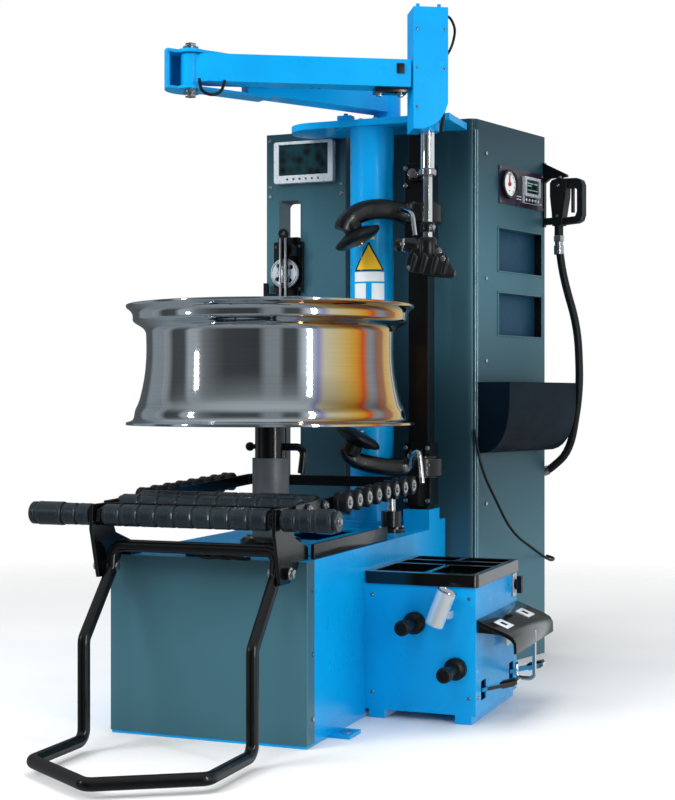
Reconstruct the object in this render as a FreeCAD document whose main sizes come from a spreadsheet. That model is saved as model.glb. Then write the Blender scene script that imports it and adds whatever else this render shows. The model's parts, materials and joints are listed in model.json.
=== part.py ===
import FreeCAD, Part
import Sketcher
import math
import os
import re
from FreeCAD import Placement, Rotation, Vector

# Machine frame: origin on the floor under the turntable axis, X right, Y back, Z up, millimetres.
SIZES = {
    # floor frame
    "base_half": 238, "base_front": -349, "base_back": 658, "deck_top": 402, "base_wall": 5,
    "pan_thick": 6, "deck_rise": 21, "cover_sheet": 2, "cover_return": 40,
    "tab_out": 290, "tab_hole_across": 268, "tab_hole_r": 8, "tab_front_y": -190, "tab_rear_y": 600,
    "tab_half": 35, "tab_thick": 8,
    # column and rail behind the turntable
    "column_across": 58, "column_back": 560, "column_r": 60, "column_wall": 6, "mast_top": 1495,
    "rail_across": 201, "rail_half": 28, "rail_foot_top": 455, "slide_clear": 0.08,
    "plate_thick": 18, "plate_front": 495, "plate_back": 660, "plate_right": 300, "plate_left": -100,
    # turntable
    "neck_r": 44.5, "neck_top": 610, "post_r": 38, "hub_seat": 860, "post_top": 995, "rod_r": 20,
    "run_clear": 0.05, "pin_level": 637,
    "worm_back": 60, "worm_level": 275, "worm_stub_r": 10, "big_pulley_r": 48,
    "motor_back": 260, "motor_level": 150, "motor_stub_r": 9, "small_pulley_r": 24,
    "rim_r": 347.5, "rim_low": 690, "rim_high": 977, "tip_r": 16, "nut_tall": 102,
    # wheel table and rollers
    "roller_r": 24, "front_roller_back": -447, "front_roller_level": 499, "shaft_r": 12,
    "roller_left": -381, "roller_right": 351, "table_level": 521, "table_slope": 0.0314,
    "beam_left": -250, "beam_right": 220, "beam_thick": 10, "beam_half": 14,
    "wheel_width": 38, "wheel_pitch": 66, "wheel_first": -134,
    "bracket_in": 213, "bracket_out": 221, "lift_pivot_back": -420, "lift_pivot_level": 384,
    "lift_tube_r": 13.5, "lift_half": 197,
    "jack_across": 165, "jack_back": 413, "jack_r": 26.5, "jack_stem_r": 12, "jack_top": 458,
    # disc arms
    "journal_r": 43, "upper_journal": 1226, "lower_journal": 540, "journal_tall": 58,
    "disc_r": 65, "disc_reach": 191, "upper_disc_level": 1183, "lower_disc_level": 650, "disc_pin_r": 12,
    # articulated tool arm
    "shoulder_across": 88, "shoulder_back": 600, "shoulder_pin_r": 20,
    "elbow_across": -258, "elbow_back": 83, "elbow_pin_r": 12,
    "head_across": 276, "head_back": 380, "head_half": 45, "head_low": 1444, "head_high": 1757,
    "link_low": 1535, "link_high": 1634, "tool_shaft_r": 13,
    # housings and cabinet
    "housing_left": -305, "housing_right": -60, "housing_front": 665, "housing_back": 745,
    "housing_top": 1519, "slot_left": -264, "slot_right": -199, "slot_low": 519, "slot_high": 1326,
    "tower_front": 680, "tower_right": 316, "tower_side": 385, "tower_lean_x": 0.2857,
    "tower_lean_y": 0.9583, "tower_top": 1530, "shell": 4,
    # control box
    "box_left": 238, "box_right": 510, "box_front": 13, "box_back": 389, "box_low": 20, "box_high": 317,
    "tray_high": 346, "pedal_hinge": 450, "pedal_level": 56, "pedal_half": 17, "pedal_front_at": 80,
    "pedal_rear_at": 336,
    # helper device on the slotted housing; gauge, display and inflation gun on the cabinet's side face
    "helper_across": -231.5, "helper_level": 1113, "strip_left": -240, "strip_right": -216,
    "gauge_along": 172, "gauge_level": 1366, "display_left": 252,
    "gun_along": 378, "trigger_out": -99, "trigger_level": 1376,
}

doc = FreeCAD.newDocument("tire_changer")
sheet = doc.addObject("Spreadsheet::Sheet", "Sizes")
for row, (alias, number) in enumerate(SIZES.items(), start=1):
    sheet.set("A%d" % row, alias)
    sheet.set("B%d" % row, str(number))
    sheet.setAlias("B%d" % row, alias)
doc.recompute()

ALONG = {
    "x": Rotation(Vector(0, 0, 1), Vector(1, 0, 0)),
    "y": Rotation(Vector(0, 0, 1), Vector(0, 1, 0)),
    "z": Rotation(),
}
PIECES = []


def bound(text):
    """The expression with every size name pointed at its cell."""
    return re.sub(r"[a-z][a-z_]*", lambda m: "Sizes." + m.group() if m.group() in SIZES else m.group(),
                  str(text))


def value(text):
    """The number an expression of size names gives."""
    result = sheet.evalExpression(bound(text))
    return float(getattr(result, "Value", result))


def point(at):
    """A vector from three size expressions."""
    return Vector(*[value(text) for text in at])


def move(obj, at, turn=None):
    """Place an object, with its position bound to size expressions."""
    obj.Placement = Placement(Vector(), turn or Rotation())
    for axis, text in zip("xyz", at):
        obj.setExpression("Placement.Base." + axis, bound(text))
    return obj


def box(name, x, y, z):
    """Block between the low and high expressions of each axis."""
    obj = doc.addObject("Part::Box", name)
    for size, (low, high) in zip(("Length", "Width", "Height"), (x, y, z)):
        obj.setExpression(size, bound("(%s) - (%s)" % (high, low)))
    return move(obj, (x[0], y[0], z[0]))


def rod(name, axis, radius, span, cross):
    """Cylinder along one axis; cross gives the other two coordinates of its centre line."""
    obj = doc.addObject("Part::Cylinder", name)
    obj.setExpression("Radius", bound(radius))
    obj.setExpression("Height", bound("(%s) - (%s)" % (span[1], span[0])))
    at = list(cross)
    at.insert("xyz".index(axis), span[0])
    return move(obj, at, ALONG[axis])


def cone(name, low_r, high_r, span, cross):
    """Upright cone or frustum."""
    obj = doc.addObject("Part::Cone", name)
    obj.setExpression("Radius1", bound(low_r))
    obj.setExpression("Radius2", bound(high_r))
    obj.setExpression("Height", bound("(%s) - (%s)" % (span[1], span[0])))
    return move(obj, (cross[0], cross[1], span[0]))


def slant(name, radius, length, at, direction):
    """Cylinder from a point along any direction."""
    obj = doc.addObject("Part::Cylinder", name)
    obj.setExpression("Radius", bound(radius))
    obj.setExpression("Height", bound(length))
    return move(obj, at, Rotation(Vector(0, 0, 1), Vector(*direction)))


def join(name, *shapes):
    """Union of several objects."""
    obj = doc.addObject("Part::MultiFuse", name)
    obj.Shapes = list(shapes)
    return obj


def cut(name, base, *tools):
    """The base with every tool taken away."""
    obj = doc.addObject("Part::Cut", name)
    obj.Base = base
    obj.Tool = tools[0] if len(tools) == 1 else join(name + "_tools", *tools)
    return obj


def group(name, *shapes):
    """Several separate solids kept together in one sub-part."""
    obj = doc.addObject("Part::Compound", name)
    obj.Links = list(shapes)
    return obj


def outline_sketch(body, role, outline):
    """Closed polygon on an origin plane, each corner held by two size expressions."""
    sketch = body.newObject("Sketcher::SketchObject", body.Name + "_outline")
    sketch.AttachmentSupport = [(f, "") for f in body.Origin.OriginFeatures if f.Role == role]
    sketch.MapMode = "FlatFace"
    corners = [Vector(value(a), value(b), 0) for a, b in outline]
    count = len(corners)
    for i in range(count):
        sketch.addGeometry(Part.LineSegment(corners[i], corners[(i + 1) % count]), False)
    for i in range(count):
        sketch.addConstraint(Sketcher.Constraint("Coincident", i, 2, (i + 1) % count, 1))
        for kind, text in zip(("DistanceX", "DistanceY"), outline[i]):
            index = sketch.addConstraint(Sketcher.Constraint(kind, -1, 1, i, 1, value(text)))
            sketch.setExpression("Constraints[%d]" % index, bound(text))
    return sketch


def slab(name, role, outline, low, high):
    """Polygon padded between two stations of the plane's own normal axis."""
    body = doc.addObject("PartDesign::Body", name)
    sketch = outline_sketch(body, role, outline)
    start = "-(%s)" % high if role == "XZ_Plane" else low
    sketch.setExpression("AttachmentOffset.Base.z", bound(start))
    pad = body.newObject("PartDesign::Pad", name + "_pad")
    pad.Profile = sketch
    pad.setExpression("Length", bound("(%s) - (%s)" % (high, low)))
    return body


def turned(name, outline):
    """Solid of revolution about Z from a polygon of radius and height."""
    body = doc.addObject("PartDesign::Body", name)
    sketch = outline_sketch(body, "XZ_Plane", outline)
    spin = body.newObject("PartDesign::Revolution", name + "_turn")
    spin.Profile = sketch
    spin.ReferenceAxis = (sketch, ["V_Axis"])
    spin.Angle = 360
    return body


def rounded(name, base, radius, wanted):
    """Fillet on the edges that the test picks by their end points."""
    doc.recompute()
    edges = [
        (i, radius, radius)
        for i, edge in enumerate(base.Shape.Edges, start=1)
        if len(edge.Vertexes) == 2 and wanted(edge.Vertexes[0].Point, edge.Vertexes[1].Point)
    ]
    obj = doc.addObject("Part::Fillet", name)
    obj.Base = base
    obj.Edges = edges
    return obj


def upright(a, b):
    """True for a vertical edge."""
    return abs(a.x - b.x) + abs(a.y - b.y) < 1e-6


def bent_path(name, points, bend):
    """Wire through the points with every corner rounded to the bend radius."""
    edges = []
    last = points[0]
    for before, corner, after in zip(points, points[1:], points[2:]):
        back, ahead = (before - corner).normalize(), (after - corner).normalize()
        half = back.getAngle(ahead) / 2
        reach = bend / math.tan(half)
        entry, leave = corner + back * reach, corner + ahead * reach
        bisector = (back + ahead).normalize()
        middle = corner + bisector * (bend / math.sin(half) - bend)
        edges += [Part.makeLine(last, entry), Part.Arc(entry, middle, leave).toShape()]
        last = leave
    edges.append(Part.makeLine(last, points[-1]))
    path = doc.addObject("Part::Feature", name)
    path.Shape = Part.Wire(edges)
    return path


def bent_rod(name, radius, points, bend):
    """Round bar or tube swept along a bent path of size expressions."""
    corners = [point(at) for at in points]
    path = bent_path(name + "_path", corners, bend)
    ring = doc.addObject("Part::Circle", name + "_ring")
    ring.setExpression("Radius", bound(radius))
    ring.Placement = Placement(corners[0], Rotation(Vector(0, 0, 1), corners[1] - corners[0]))
    sweep = doc.addObject("Part::Sweep", name)
    sweep.Sections = [ring]
    sweep.Spine = (path, ["Edge%d" % (i + 1) for i in range(len(path.Shape.Edges))])
    sweep.Solid = True
    return sweep


def piece(label, obj):
    """Register a finished sub-part under the name of its file."""
    obj.Label = label
    PIECES.append(obj)


def tower_turn():
    """Rotation from the cabinet's side-face frame (x back along the face, y inward) to the machine."""
    return Rotation(Vector(0, 0, 1), math.degrees(math.atan2(value("tower_lean_y"), value("tower_lean_x"))))


def on_side(obj):
    """Move an object from the side-face frame onto the cabinet."""
    holder = doc.addObject("Part::Compound", obj.Name + "_set")
    holder.Links = [obj]
    return move(holder, ("tower_right", "tower_front", "0"), tower_turn())


def swung(obj, at, degrees):
    """Turn an object about a vertical line through a point."""
    holder = doc.addObject("Part::Compound", obj.Name + "_set")
    holder.Links = [obj]
    return move(holder, (at[0], at[1], "0"), Rotation(Vector(0, 0, 1), degrees))


def mirrored_pair(maker):
    """Both hands of something built from a side sign."""
    return [maker(-1, "left"), maker(1, "right")]


def span(side, near, far):
    """Low and high X of something between two distances out on one side."""
    return (near, far) if side > 0 else ("-(%s)" % far, "-(%s)" % near)


# ---------------------------------------------------------------- floor frame

def base_frame():
    inside = "base_half - base_wall"
    outer = box("frame_block", ("-base_half", "base_half"), ("base_front", "base_back"), ("0", "deck_top"))
    hollow = box("frame_hollow", ("-(%s)" % inside, inside), ("base_front - 10", "base_back - base_wall"),
                 ("pan_thick", "deck_top - base_wall"))
    well = box("deck_well", ("-70", "70"), ("130", "430"), ("deck_top - 20", "deck_top + 1"))
    neck = rod("neck_hole", "z", "neck_r + 1", ("deck_top - 20", "deck_top + 1"), ("0", "0"))
    shell = cut("frame_shell", outer, hollow, well, neck)
    riser = box("rear_member", ("-base_half", "base_half"), ("base_back - 98", "base_back"),
                ("deck_top", "deck_top + deck_rise"))
    foot = rod("column_foot", "z", "column_r + 22", ("deck_top", "deck_top + deck_rise"),
               ("column_across", "column_back"))
    block = box("rail_foot", ("rail_across - 37", "rail_across + 37"),
                ("column_back - 45", "column_back + 45"),
                ("deck_top", "rail_foot_top"))
    ties = [box("tie_cabinet", ("40", "160"), ("base_back - 4", "tower_front"), ("12", "60")),
            box("tie_housing", ("-220", "-120"), ("base_back - 4", "housing_front"), ("12", "60"))]
    tabs = []
    holes = []
    for side in (-1, 1):
        for end, at in (("front", "tab_front_y"), ("rear", "tab_rear_y")):
            name = "tab_%s_%s" % (end, "right" if side > 0 else "left")
            tabs.append(box(name, span(side, "base_half - 2", "tab_out"),
                            (at + " - tab_half", at + " + tab_half"),
                            ("0", "tab_thick")))
            holes.append(rod(name + "_hole", "z", "tab_hole_r", ("-1", "tab_thick + 1"),
                             ("%d * tab_hole_across" % side, at)))
    body = join("frame_body", shell, riser, foot, block, *ties, *tabs)
    piece("base_frame", cut("base_frame", body, *holes))


def front_cover():
    outer = box("cover_block", ("-base_half - cover_sheet", "base_half + cover_sheet"),
                ("base_front - cover_sheet", "base_front + cover_return"), ("pan_thick", "deck_top"))
    inner = box("cover_inside", ("-base_half", "base_half"),
                ("base_front", "base_front + cover_return + 1"),
                ("0", "deck_top + 1"))
    piece("front_cover", cut("front_cover", outer, inner))


def lift_brackets():
    side_shape = [("-300", "402"), ("-300", "430"), ("-375", "455"), ("-412", "523"), ("-474", "523"),
                  ("-478", "470"), ("-448", "362"), ("-400", "362"), ("-356", "392"), ("-352", "402")]

    def one(side, word):
        low, high = span(side, "bracket_in", "bracket_out")
        cheek = slab("bracket_" + word, "YZ_Plane", side_shape, low, high)
        foot = box("bracket_foot_" + word, span(side, "190", "bracket_out"), ("-349", "-300"),
                   ("deck_top", "deck_top + 8"))
        shaft = rod("bracket_bore_" + word, "x", "shaft_r + run_clear", span(side, "180", "240"),
                    ("front_roller_back", "front_roller_level"))
        pivot = rod("pivot_bore_" + word, "x", "8 + run_clear", span(side, "180", "240"),
                    ("lift_pivot_back", "lift_pivot_level"))
        return cut("bracket_cut_" + word, join("bracket_join_" + word, cheek, foot), shaft, pivot)

    piece("lift_brackets", group("lift_brackets", *mirrored_pair(one)))


def column():
    floor = "deck_top + deck_rise"
    at = ("column_across", "column_back")
    outer = rod("column_outer", "z", "column_r", (floor, "mast_top"), at)
    inner = rod("column_inner", "z", "column_r - column_wall", (floor, "mast_top"), at)
    piece("column", cut("column", outer, inner))


def guide_rail():
    piece("guide_rail", box("guide_rail", ("rail_across - rail_half", "rail_across + rail_half"),
                            ("column_back - rail_half", "column_back + rail_half"),
                            ("rail_foot_top", "mast_top")))


def top_plate():
    top = "mast_top + plate_thick"
    half = "(plate_back - plate_front) / 2"
    deck = box("plate_block", ("plate_left", "plate_right"), ("plate_front", "plate_back"),
               ("mast_top", top))
    nose = rod("plate_nose", "z", half, ("mast_top", top), ("plate_left", "(plate_back + plate_front) / 2"))
    pin = rod("shoulder_pin", "z", "shoulder_pin_r", (top, "1640"), ("shoulder_across", "shoulder_back"))
    nut = rod("shoulder_nut", "z", "shoulder_pin_r + 8", ("1632", "1648"),
              ("shoulder_across", "shoulder_back"))
    stop = box("arm_stop", ("-22", "18"), ("500", "530"), (top, top + " + 14"))
    bolt = rod("arm_stop_bolt", "z", "6", (top + " + 14", top + " + 21"), ("-2", "515"))
    piece("top_plate", join("top_plate", deck, nose, pin, nut, stop, bolt))


# ---------------------------------------------------------------- turntable and its drive

def gearbox():
    case = box("gear_case", ("-85", "85"), ("-95", "95"), ("250", "deck_top - base_wall"))
    neck = rod("bearing_neck", "z", "neck_r", ("300", "neck_top"), ("0", "0"))
    bore = rod("output_bore", "z", "post_r + run_clear", ("290", "neck_top + 1"), ("0", "0"))
    worm = rod("worm_bore", "x", "worm_stub_r + run_clear", ("-86", "-20"), ("worm_back", "worm_level"))
    piece("gearbox", cut("gearbox", join("gear_body", case, neck), bore, worm))


def belt_drive():
    big_at, small_at = ("worm_back", "worm_level"), ("motor_back", "motor_level")
    plane = ("-150", "-130")
    belt_plane = ("-146", "-134")
    piece("worm_pulley", join("worm_pulley", rod("worm_wheel", "x", "big_pulley_r", plane, big_at),
                              rod("worm_stub", "x", "worm_stub_r", ("-131", "-30"), big_at)))
    piece("motor_pulley", cut("motor_pulley", rod("motor_wheel", "x", "small_pulley_r", plane, small_at),
                              rod("motor_bore", "x", "motor_stub_r + run_clear", ("-151", "-129"),
                                  small_at)))
    motor_body = rod("motor_body", "x", "70", ("-110", "120"), small_at)
    stub = rod("motor_shaft", "x", "motor_stub_r", ("-149", "-109"), small_at)
    feet = box("motor_feet", ("-90", "100"), ("205", "315"), ("pan_thick", "95"))
    piece("drive_motor", join("drive_motor", motor_body, stub, feet))

    big, small = value("big_pulley_r"), value("small_pulley_r")
    up, back = value("worm_level - motor_level"), value("worm_back - motor_back")
    rise = math.atan2(up, back)
    open_angle = math.asin((big - small) / math.hypot(up, back))
    tangents = (rise + math.pi / 2 - open_angle, rise - math.pi / 2 + open_angle)

    def loop(name, thick):
        """Belt outline around both pulleys: two circles and the strip between their outer tangents."""
        corners = []
        for centre, radius, angle in ((small_at, small, tangents[0]), (big_at, big, tangents[0]),
                                      (big_at, big, tangents[1]), (small_at, small, tangents[1])):
            corners.append(("%s + %g" % (centre[0], (radius + thick) * math.cos(angle)),
                            "%s + %g" % (centre[1], (radius + thick) * math.sin(angle))))
        web = slab(name + "_web", "YZ_Plane", corners, *belt_plane)
        ends = [rod(name + "_big", "x", "big_pulley_r + %g" % thick, belt_plane, big_at),
                rod(name + "_small", "x", "small_pulley_r + %g" % thick, belt_plane, small_at)]
        return join(name, web, *ends)

    piece("drive_belt", cut("drive_belt", loop("belt_outside", 5), loop("belt_inside", 0.1)))


def spindle_post():
    post = rod("post_tube", "z", "post_r", ("300", "hub_seat - 12"), ("0", "0"))
    seat = rod("wheel_seat", "z", "115", ("hub_seat - 12", "hub_seat"), ("0", "0"))
    thread = rod("clamp_rod", "z", "rod_r", ("hub_seat", "hub_seat + nut_tall + 2"), ("0", "0"))
    tip = rod("clamp_tip", "z", "tip_r", ("hub_seat + nut_tall", "post_top"), ("0", "0"))
    cross = rod("lock_bore", "x", "6 + run_clear", ("-60", "60"), ("0", "pin_level"))
    piece("spindle_post", cut("spindle_post", join("post_body", post, seat, thread, tip), cross))


def lock_pin():
    ball = doc.addObject("Part::Sphere", "lock_ball")
    ball.Radius = 11
    move(ball, ("-55", "0", "pin_level"))
    shank = rod("lock_shank", "x", "6", ("-55", "48"), ("0", "pin_level"))
    lever = bent_rod("lock_lever", "9", [("41", "0", "pin_level"), ("88", "0", "pin_level"),
                                         ("80", "0", "pin_level - 63")], 18)
    piece("lock_pin", join("lock_pin", ball, shank, lever))


def wheel_rim():
    high, low = "rim_high", "rim_low"
    outside = [("rim_r", high), ("rim_r", high + " - 6"), ("341", high + " - 11"), ("335", high + " - 17"),
               ("331", high + " - 25"), ("331", high + " - 38"), ("316", high + " - 49"),
               ("304", high + " - 58"),
               ("299", high + " - 78"), ("299", high + " - 127"), ("304", high + " - 177"),
               ("315", low + " + 60"),
               ("325", low + " + 36"), ("328", low + " + 20"), ("334", low + " + 10"),
               ("rim_r", low + " + 6"),
               ("rim_r", low)]
    inside = [("328", low), ("321", low + " + 12"), ("318", low + " + 34"), ("308", low + " + 60"),
              ("297", high + " - 177"), ("292", high + " - 127"), ("292", high + " - 74"),
              ("298", high + " - 56"),
              ("310", high + " - 44"), ("323", high + " - 33"), ("324", high + " - 22"),
              ("330", high + " - 10"),
              ("338", high)]
    barrel = turned("rim_barrel", outside + inside)
    hub = rod("rim_hub", "z", "92", ("hub_seat", "hub_seat + 45"), ("0", "0"))
    spokes = []
    for i in range(10):
        blade = box("spoke_%d" % i, ("70", "295"), ("-15", "15"), ("hub_seat + 8", "hub_seat + 34"))
        spokes.append(swung(blade, ("0", "0"), 36 * i))
    bore = rod("rim_bore", "z", "36", ("hub_seat - 1", "hub_seat + 46"), ("0", "0"))
    holes = []
    for i in range(5):
        hole = rod("stud_hole_%d" % i, "z", "8", ("hub_seat - 1", "hub_seat + 46"), ("60", "0"))
        holes.append(swung(hole, ("0", "0"), 72 * i))
    piece("wheel_rim", cut("wheel_rim", join("rim_body", barrel, hub, *spokes), bore, *holes))


def clamp_nut():
    seat = cone("nut_cone", "50", "34", ("hub_seat + 45", "hub_seat + 70"), ("0", "0"))
    core = rod("nut_core", "z", "30", ("hub_seat + 70", "hub_seat + nut_tall"), ("0", "0"))
    wings = box("nut_wings", ("-88", "88"), ("-9", "9"), ("hub_seat + 76", "hub_seat + 96"))
    bore = rod("nut_bore", "z", "rod_r + run_clear", ("hub_seat + 40", "hub_seat + 110"), ("0", "0"))
    piece("clamp_nut", cut("clamp_nut", join("nut_body", seat, core, wings), bore))


# ---------------------------------------------------------------- wheel table

def roller(name, left, right, at, collars):
    """Long roller: a shaft through a sleeve, with rings cut between the sleeve's sections."""
    shaft = rod(name + "_shaft", "x", "shaft_r", (left, right), at)
    parts = [shaft]
    for i, (low, high, radius) in enumerate(collars):
        parts.append(rod("%s_sleeve_%d" % (name, i), "x", radius, (low, high), at))
    return join(name, *parts)


def sleeves(low, high, pitch, gap, radius):
    """Even sleeve sections between two stations."""
    count = max(1, round((high - low) / pitch))
    step = (high - low) / count
    return [("%g" % (low + i * step), "%g" % (low + (i + 1) * step - gap), radius) for i in range(count)]


def rollers():
    at = ("front_roller_back", "front_roller_level")
    front = [("roller_left", "-300", "roller_r + 2")] + sleeves(-298, -226, 36, 3, "roller_r")
    front += sleeves(-196, 197, 44, 3, "roller_r") + sleeves(226, 300, 37, 3, "roller_r")
    front += [("300", "roller_right", "roller_r + 2")]
    piece("roller_front", roller("roller_front", "roller_left", "roller_right", at, front))
    for word, back in (("second", "-300"), ("third", "-205")):
        level = "table_level + table_slope * (%s)" % back
        parts = sleeves(-236, 206, 49, 3, "roller_r")
        name = "roller_" + word
        piece(name, roller(name, "beam_left - 6", "beam_right + 6", (back, level), parts))


def table_frame():
    def beam(name, left):
        low, high = "table_slope * (-365)", "table_slope * 424"
        outline = [("-365", "table_level + %s - beam_half" % low),
                   ("424", "table_level + %s - beam_half" % high),
                   ("424", "table_level + %s + beam_half" % high),
                   ("-365", "table_level + %s + beam_half" % low)]
        return slab(name, "YZ_Plane", outline, left, left + " + beam_thick")

    def ear(name, left):
        outline = [("-345", "485"), ("-345", "517"), ("-430", "520"), ("-466", "512"), ("-470", "486"),
                   ("-440", "475"), ("-400", "480")]
        return slab(name, "YZ_Plane", outline, left, left + " + 8")

    front = box("cross_front", ("beam_left", "beam_right"), ("-365", "-345"), ("494", "520"))
    rear = box("cross_rear", ("beam_left", "beam_right"), ("400", "424"), ("521", "548"))
    solid = join("table_solid", beam("beam_l", "beam_left"), beam("beam_r", "beam_right - beam_thick"),
                 ear("ear_left", "-208"), ear("ear_right", "200"), front, rear)
    bores = [rod("ear_bore", "x", "shaft_r + run_clear", ("-260", "260"),
                 ("front_roller_back", "front_roller_level"))]
    for word, back in (("second", "-300"), ("third", "-205")):
        bores.append(rod("beam_bore_" + word, "x", "shaft_r + run_clear", ("-262", "232"),
                         (back, "table_level + table_slope * (%s)" % back)))
    piece("table_frame", cut("table_frame", solid, *bores))
    for word, low in (("left", "beam_left - wheel_width"), ("right", "beam_right")):
        wheels = []
        for i in range(8):
            back = "wheel_first + %d * wheel_pitch" % i
            level = "table_level + table_slope * (%s)" % back
            name = "skate_%s_%d" % (word, i)
            tyre = rod(name, "x", "roller_r", (low, low + " + wheel_width"), (back, level))
            groove = cut(name + "_ring", rod(name + "_groove_out", "x", "roller_r + 1",
                                             (low + " + 16", low + " + 20"), (back, level)),
                         rod(name + "_groove_in", "x", "roller_r - 3", (low + " + 16", low + " + 20"),
                             (back, level)))
            wheels.append(cut(name + "_cut", tyre, groove))
        piece(word + "_skate_wheels", group(word + "_skate_wheels", *wheels))


def table_jack():
    at = ("jack_across", "jack_back")
    body = rod("jack_body", "z", "jack_r", ("deck_top", "jack_top"), at)
    bore = rod("jack_bore", "z", "jack_stem_r + run_clear", ("deck_top + 5", "jack_top + 1"), at)
    piece("lift_cylinder", cut("lift_cylinder", body, bore))
    stem = rod("jack_stem", "z", "jack_stem_r", ("jack_top - 4", "jack_top + 52"), at)
    pad = rod("jack_pad", "z", "jack_stem_r + 6", ("jack_top + 50", "jack_top + 60"), at)
    piece("lift_rod", join("lift_rod", stem, pad))


def wheel_lift():
    half = "lift_half"
    pivot = ("lift_pivot_back", "lift_pivot_level")
    bar = bent_rod("lift_loop", "lift_tube_r", [
        ("0", "-415", "430"), ("-" + half, "-415", "430"), ("-" + half, "-424", "376"),
        ("-" + half, "-540", "240"),
        ("-" + half, "-540", "26"), ("-" + half, "-742", "26"), ("0", "-865", "26"), (half, "-742", "26"),
        (half, "-540", "26"), (half, "-540", "240"), (half, "-424", "376"), (half, "-415", "430"),
        ("0", "-415", "430")], 24)
    studs = []
    for side in (-1, 1):
        word = "right" if side > 0 else "left"
        studs.append(rod("lift_stud_" + word, "x", "8", span(side, "190", "226"), pivot))
        studs.append(rod("lift_boss_" + word, "x", "17", span(side, "200", "bracket_in - 0.5"), pivot))
        studs.append(rod("lift_head_" + word, "x", "13", span(side, "bracket_out + 0.5", "231"), pivot))
    piece("wheel_lift", join("wheel_lift", bar, *studs))


# ---------------------------------------------------------------- disc arms on the rail

def carriage(name, low, high, journal):
    wide = "rail_half + 8"
    centre = ("rail_across", "column_back")
    x = (centre[0] + " - (%s)" % wide, centre[0] + " + %s" % wide)
    y = (centre[1] + " - (%s)" % wide, centre[1] + " + %s" % wide)
    bottom = box(name + "_low", x, y, (low, journal))
    neck = rod(name + "_journal", "z", "journal_r", (journal, journal + " + journal_tall"), centre)
    top = box(name + "_high", x, y, (journal + " + journal_tall", high))
    bore = "rail_half + slide_clear"
    hole = box(name + "_hole", (centre[0] + " - (%s)" % bore, centre[0] + " + %s" % bore),
               (centre[1] + " - (%s)" % bore, centre[1] + " + %s" % bore), (low + " - 1", high + " + 1"))
    piece(name, cut(name, join(name + "_body", bottom, neck, top), hole))


def disc_axis(sign):
    """Unit normal of a bead disc; the upper one (sign -1) leans away from the turntable's far side."""
    tilt = math.radians(27)
    return (sign * 0.9323 * math.sin(tilt), sign * 0.3616 * math.sin(tilt), math.cos(tilt))


def disc_arm(word, journal, disc_level, profile, sign, handle):
    """Curved arm: a ring on the carriage journal, a gooseneck out to the disc, and the disc's pin."""
    name = word + "_arm"
    low, high = journal + " + 2", journal + " + journal_tall - 2"
    centre = ("rail_across", "column_back")
    neck = swung(slab(name + "_neck", "XZ_Plane", profile, "-22", "22"), centre, 225)
    ring = rod(name + "_ring", "z", "journal_r + 13", (low, high), centre)
    bore = rod(name + "_bore", "z", "journal_r + run_clear", (low + " - 3", high + " + 3"), centre)
    axis = disc_axis(sign)
    away = -sign
    out = "disc_reach * 0.70711"
    hub = ("rail_across - " + out, "column_back - " + out, disc_level)
    start = [text + " + %g" % (-16 * away * part) for text, part in zip(hub, axis)]
    direction = [away * part for part in axis]
    pin = slant(name + "_pin", "disc_pin_r", "52", start, direction)
    boss_at = [text + " + %g" % (20 * away * part) for text, part in zip(hub, axis)]
    boss = slant(name + "_boss", "26", "26", boss_at, direction)
    grip = bent_rod(name + "_grip", "6", handle, 16)
    solid = join(name + "_solid", cut(name + "_cut", join(name + "_ring_neck", neck, ring), bore), pin,
                 boss, grip)
    piece(name, solid)

    disc_name = word + "_disc"
    dish = turned(disc_name + "_dish", [("disc_pin_r + run_clear", "-17"), ("30", "-17"), ("58", "-10"),
                                        ("disc_r", "-3"), ("disc_r", "3"), ("54", "9"), ("34", "18"),
                                        ("disc_pin_r + run_clear", "18")])
    holder = group(disc_name, dish)
    holder_turn = Rotation(Vector(0, 0, 1), Vector(*direction))
    piece(disc_name, move(holder, hub, holder_turn))


def disc_arms():
    carriage("upper_carriage", "1158", "1389", "upper_journal")
    carriage("lower_carriage", "465", "635", "lower_journal")
    upper = [("46", "1232"), ("46", "1281"), ("120", "1283"), ("168", "1274"), ("206", "1248"),
             ("226", "1224"),
             ("206", "1208"), ("186", "1212"), ("160", "1228"), ("120", "1238")]
    lower = [("46", "546"), ("46", "590"), ("112", "588"), ("150", "598"), ("176", "616"), ("200", "624"),
             ("222", "612"), ("206", "580"), ("168", "554"), ("120", "545")]
    disc_arm("upper", "upper_journal", "upper_disc_level", upper, -1,
             [("165", "520", "1262"), ("166", "492", "1262"), ("212", "446", "1246"),
              ("222", "440", "1184")])
    disc_arm("lower", "lower_journal", "lower_disc_level", lower, 1,
             [("185", "512", "567"), ("198", "482", "600"), ("226", "460", "618"), ("240", "448", "530")])


# ---------------------------------------------------------------- articulated tool arm

def arm_frame(obj, at, to):
    """Put an object drawn along +X from the origin onto the line between two pivots."""
    run, rise = value(to[0]) - value(at[0]), value(to[1]) - value(at[1])
    return swung(obj, at, math.degrees(math.atan2(rise, run)))


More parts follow.
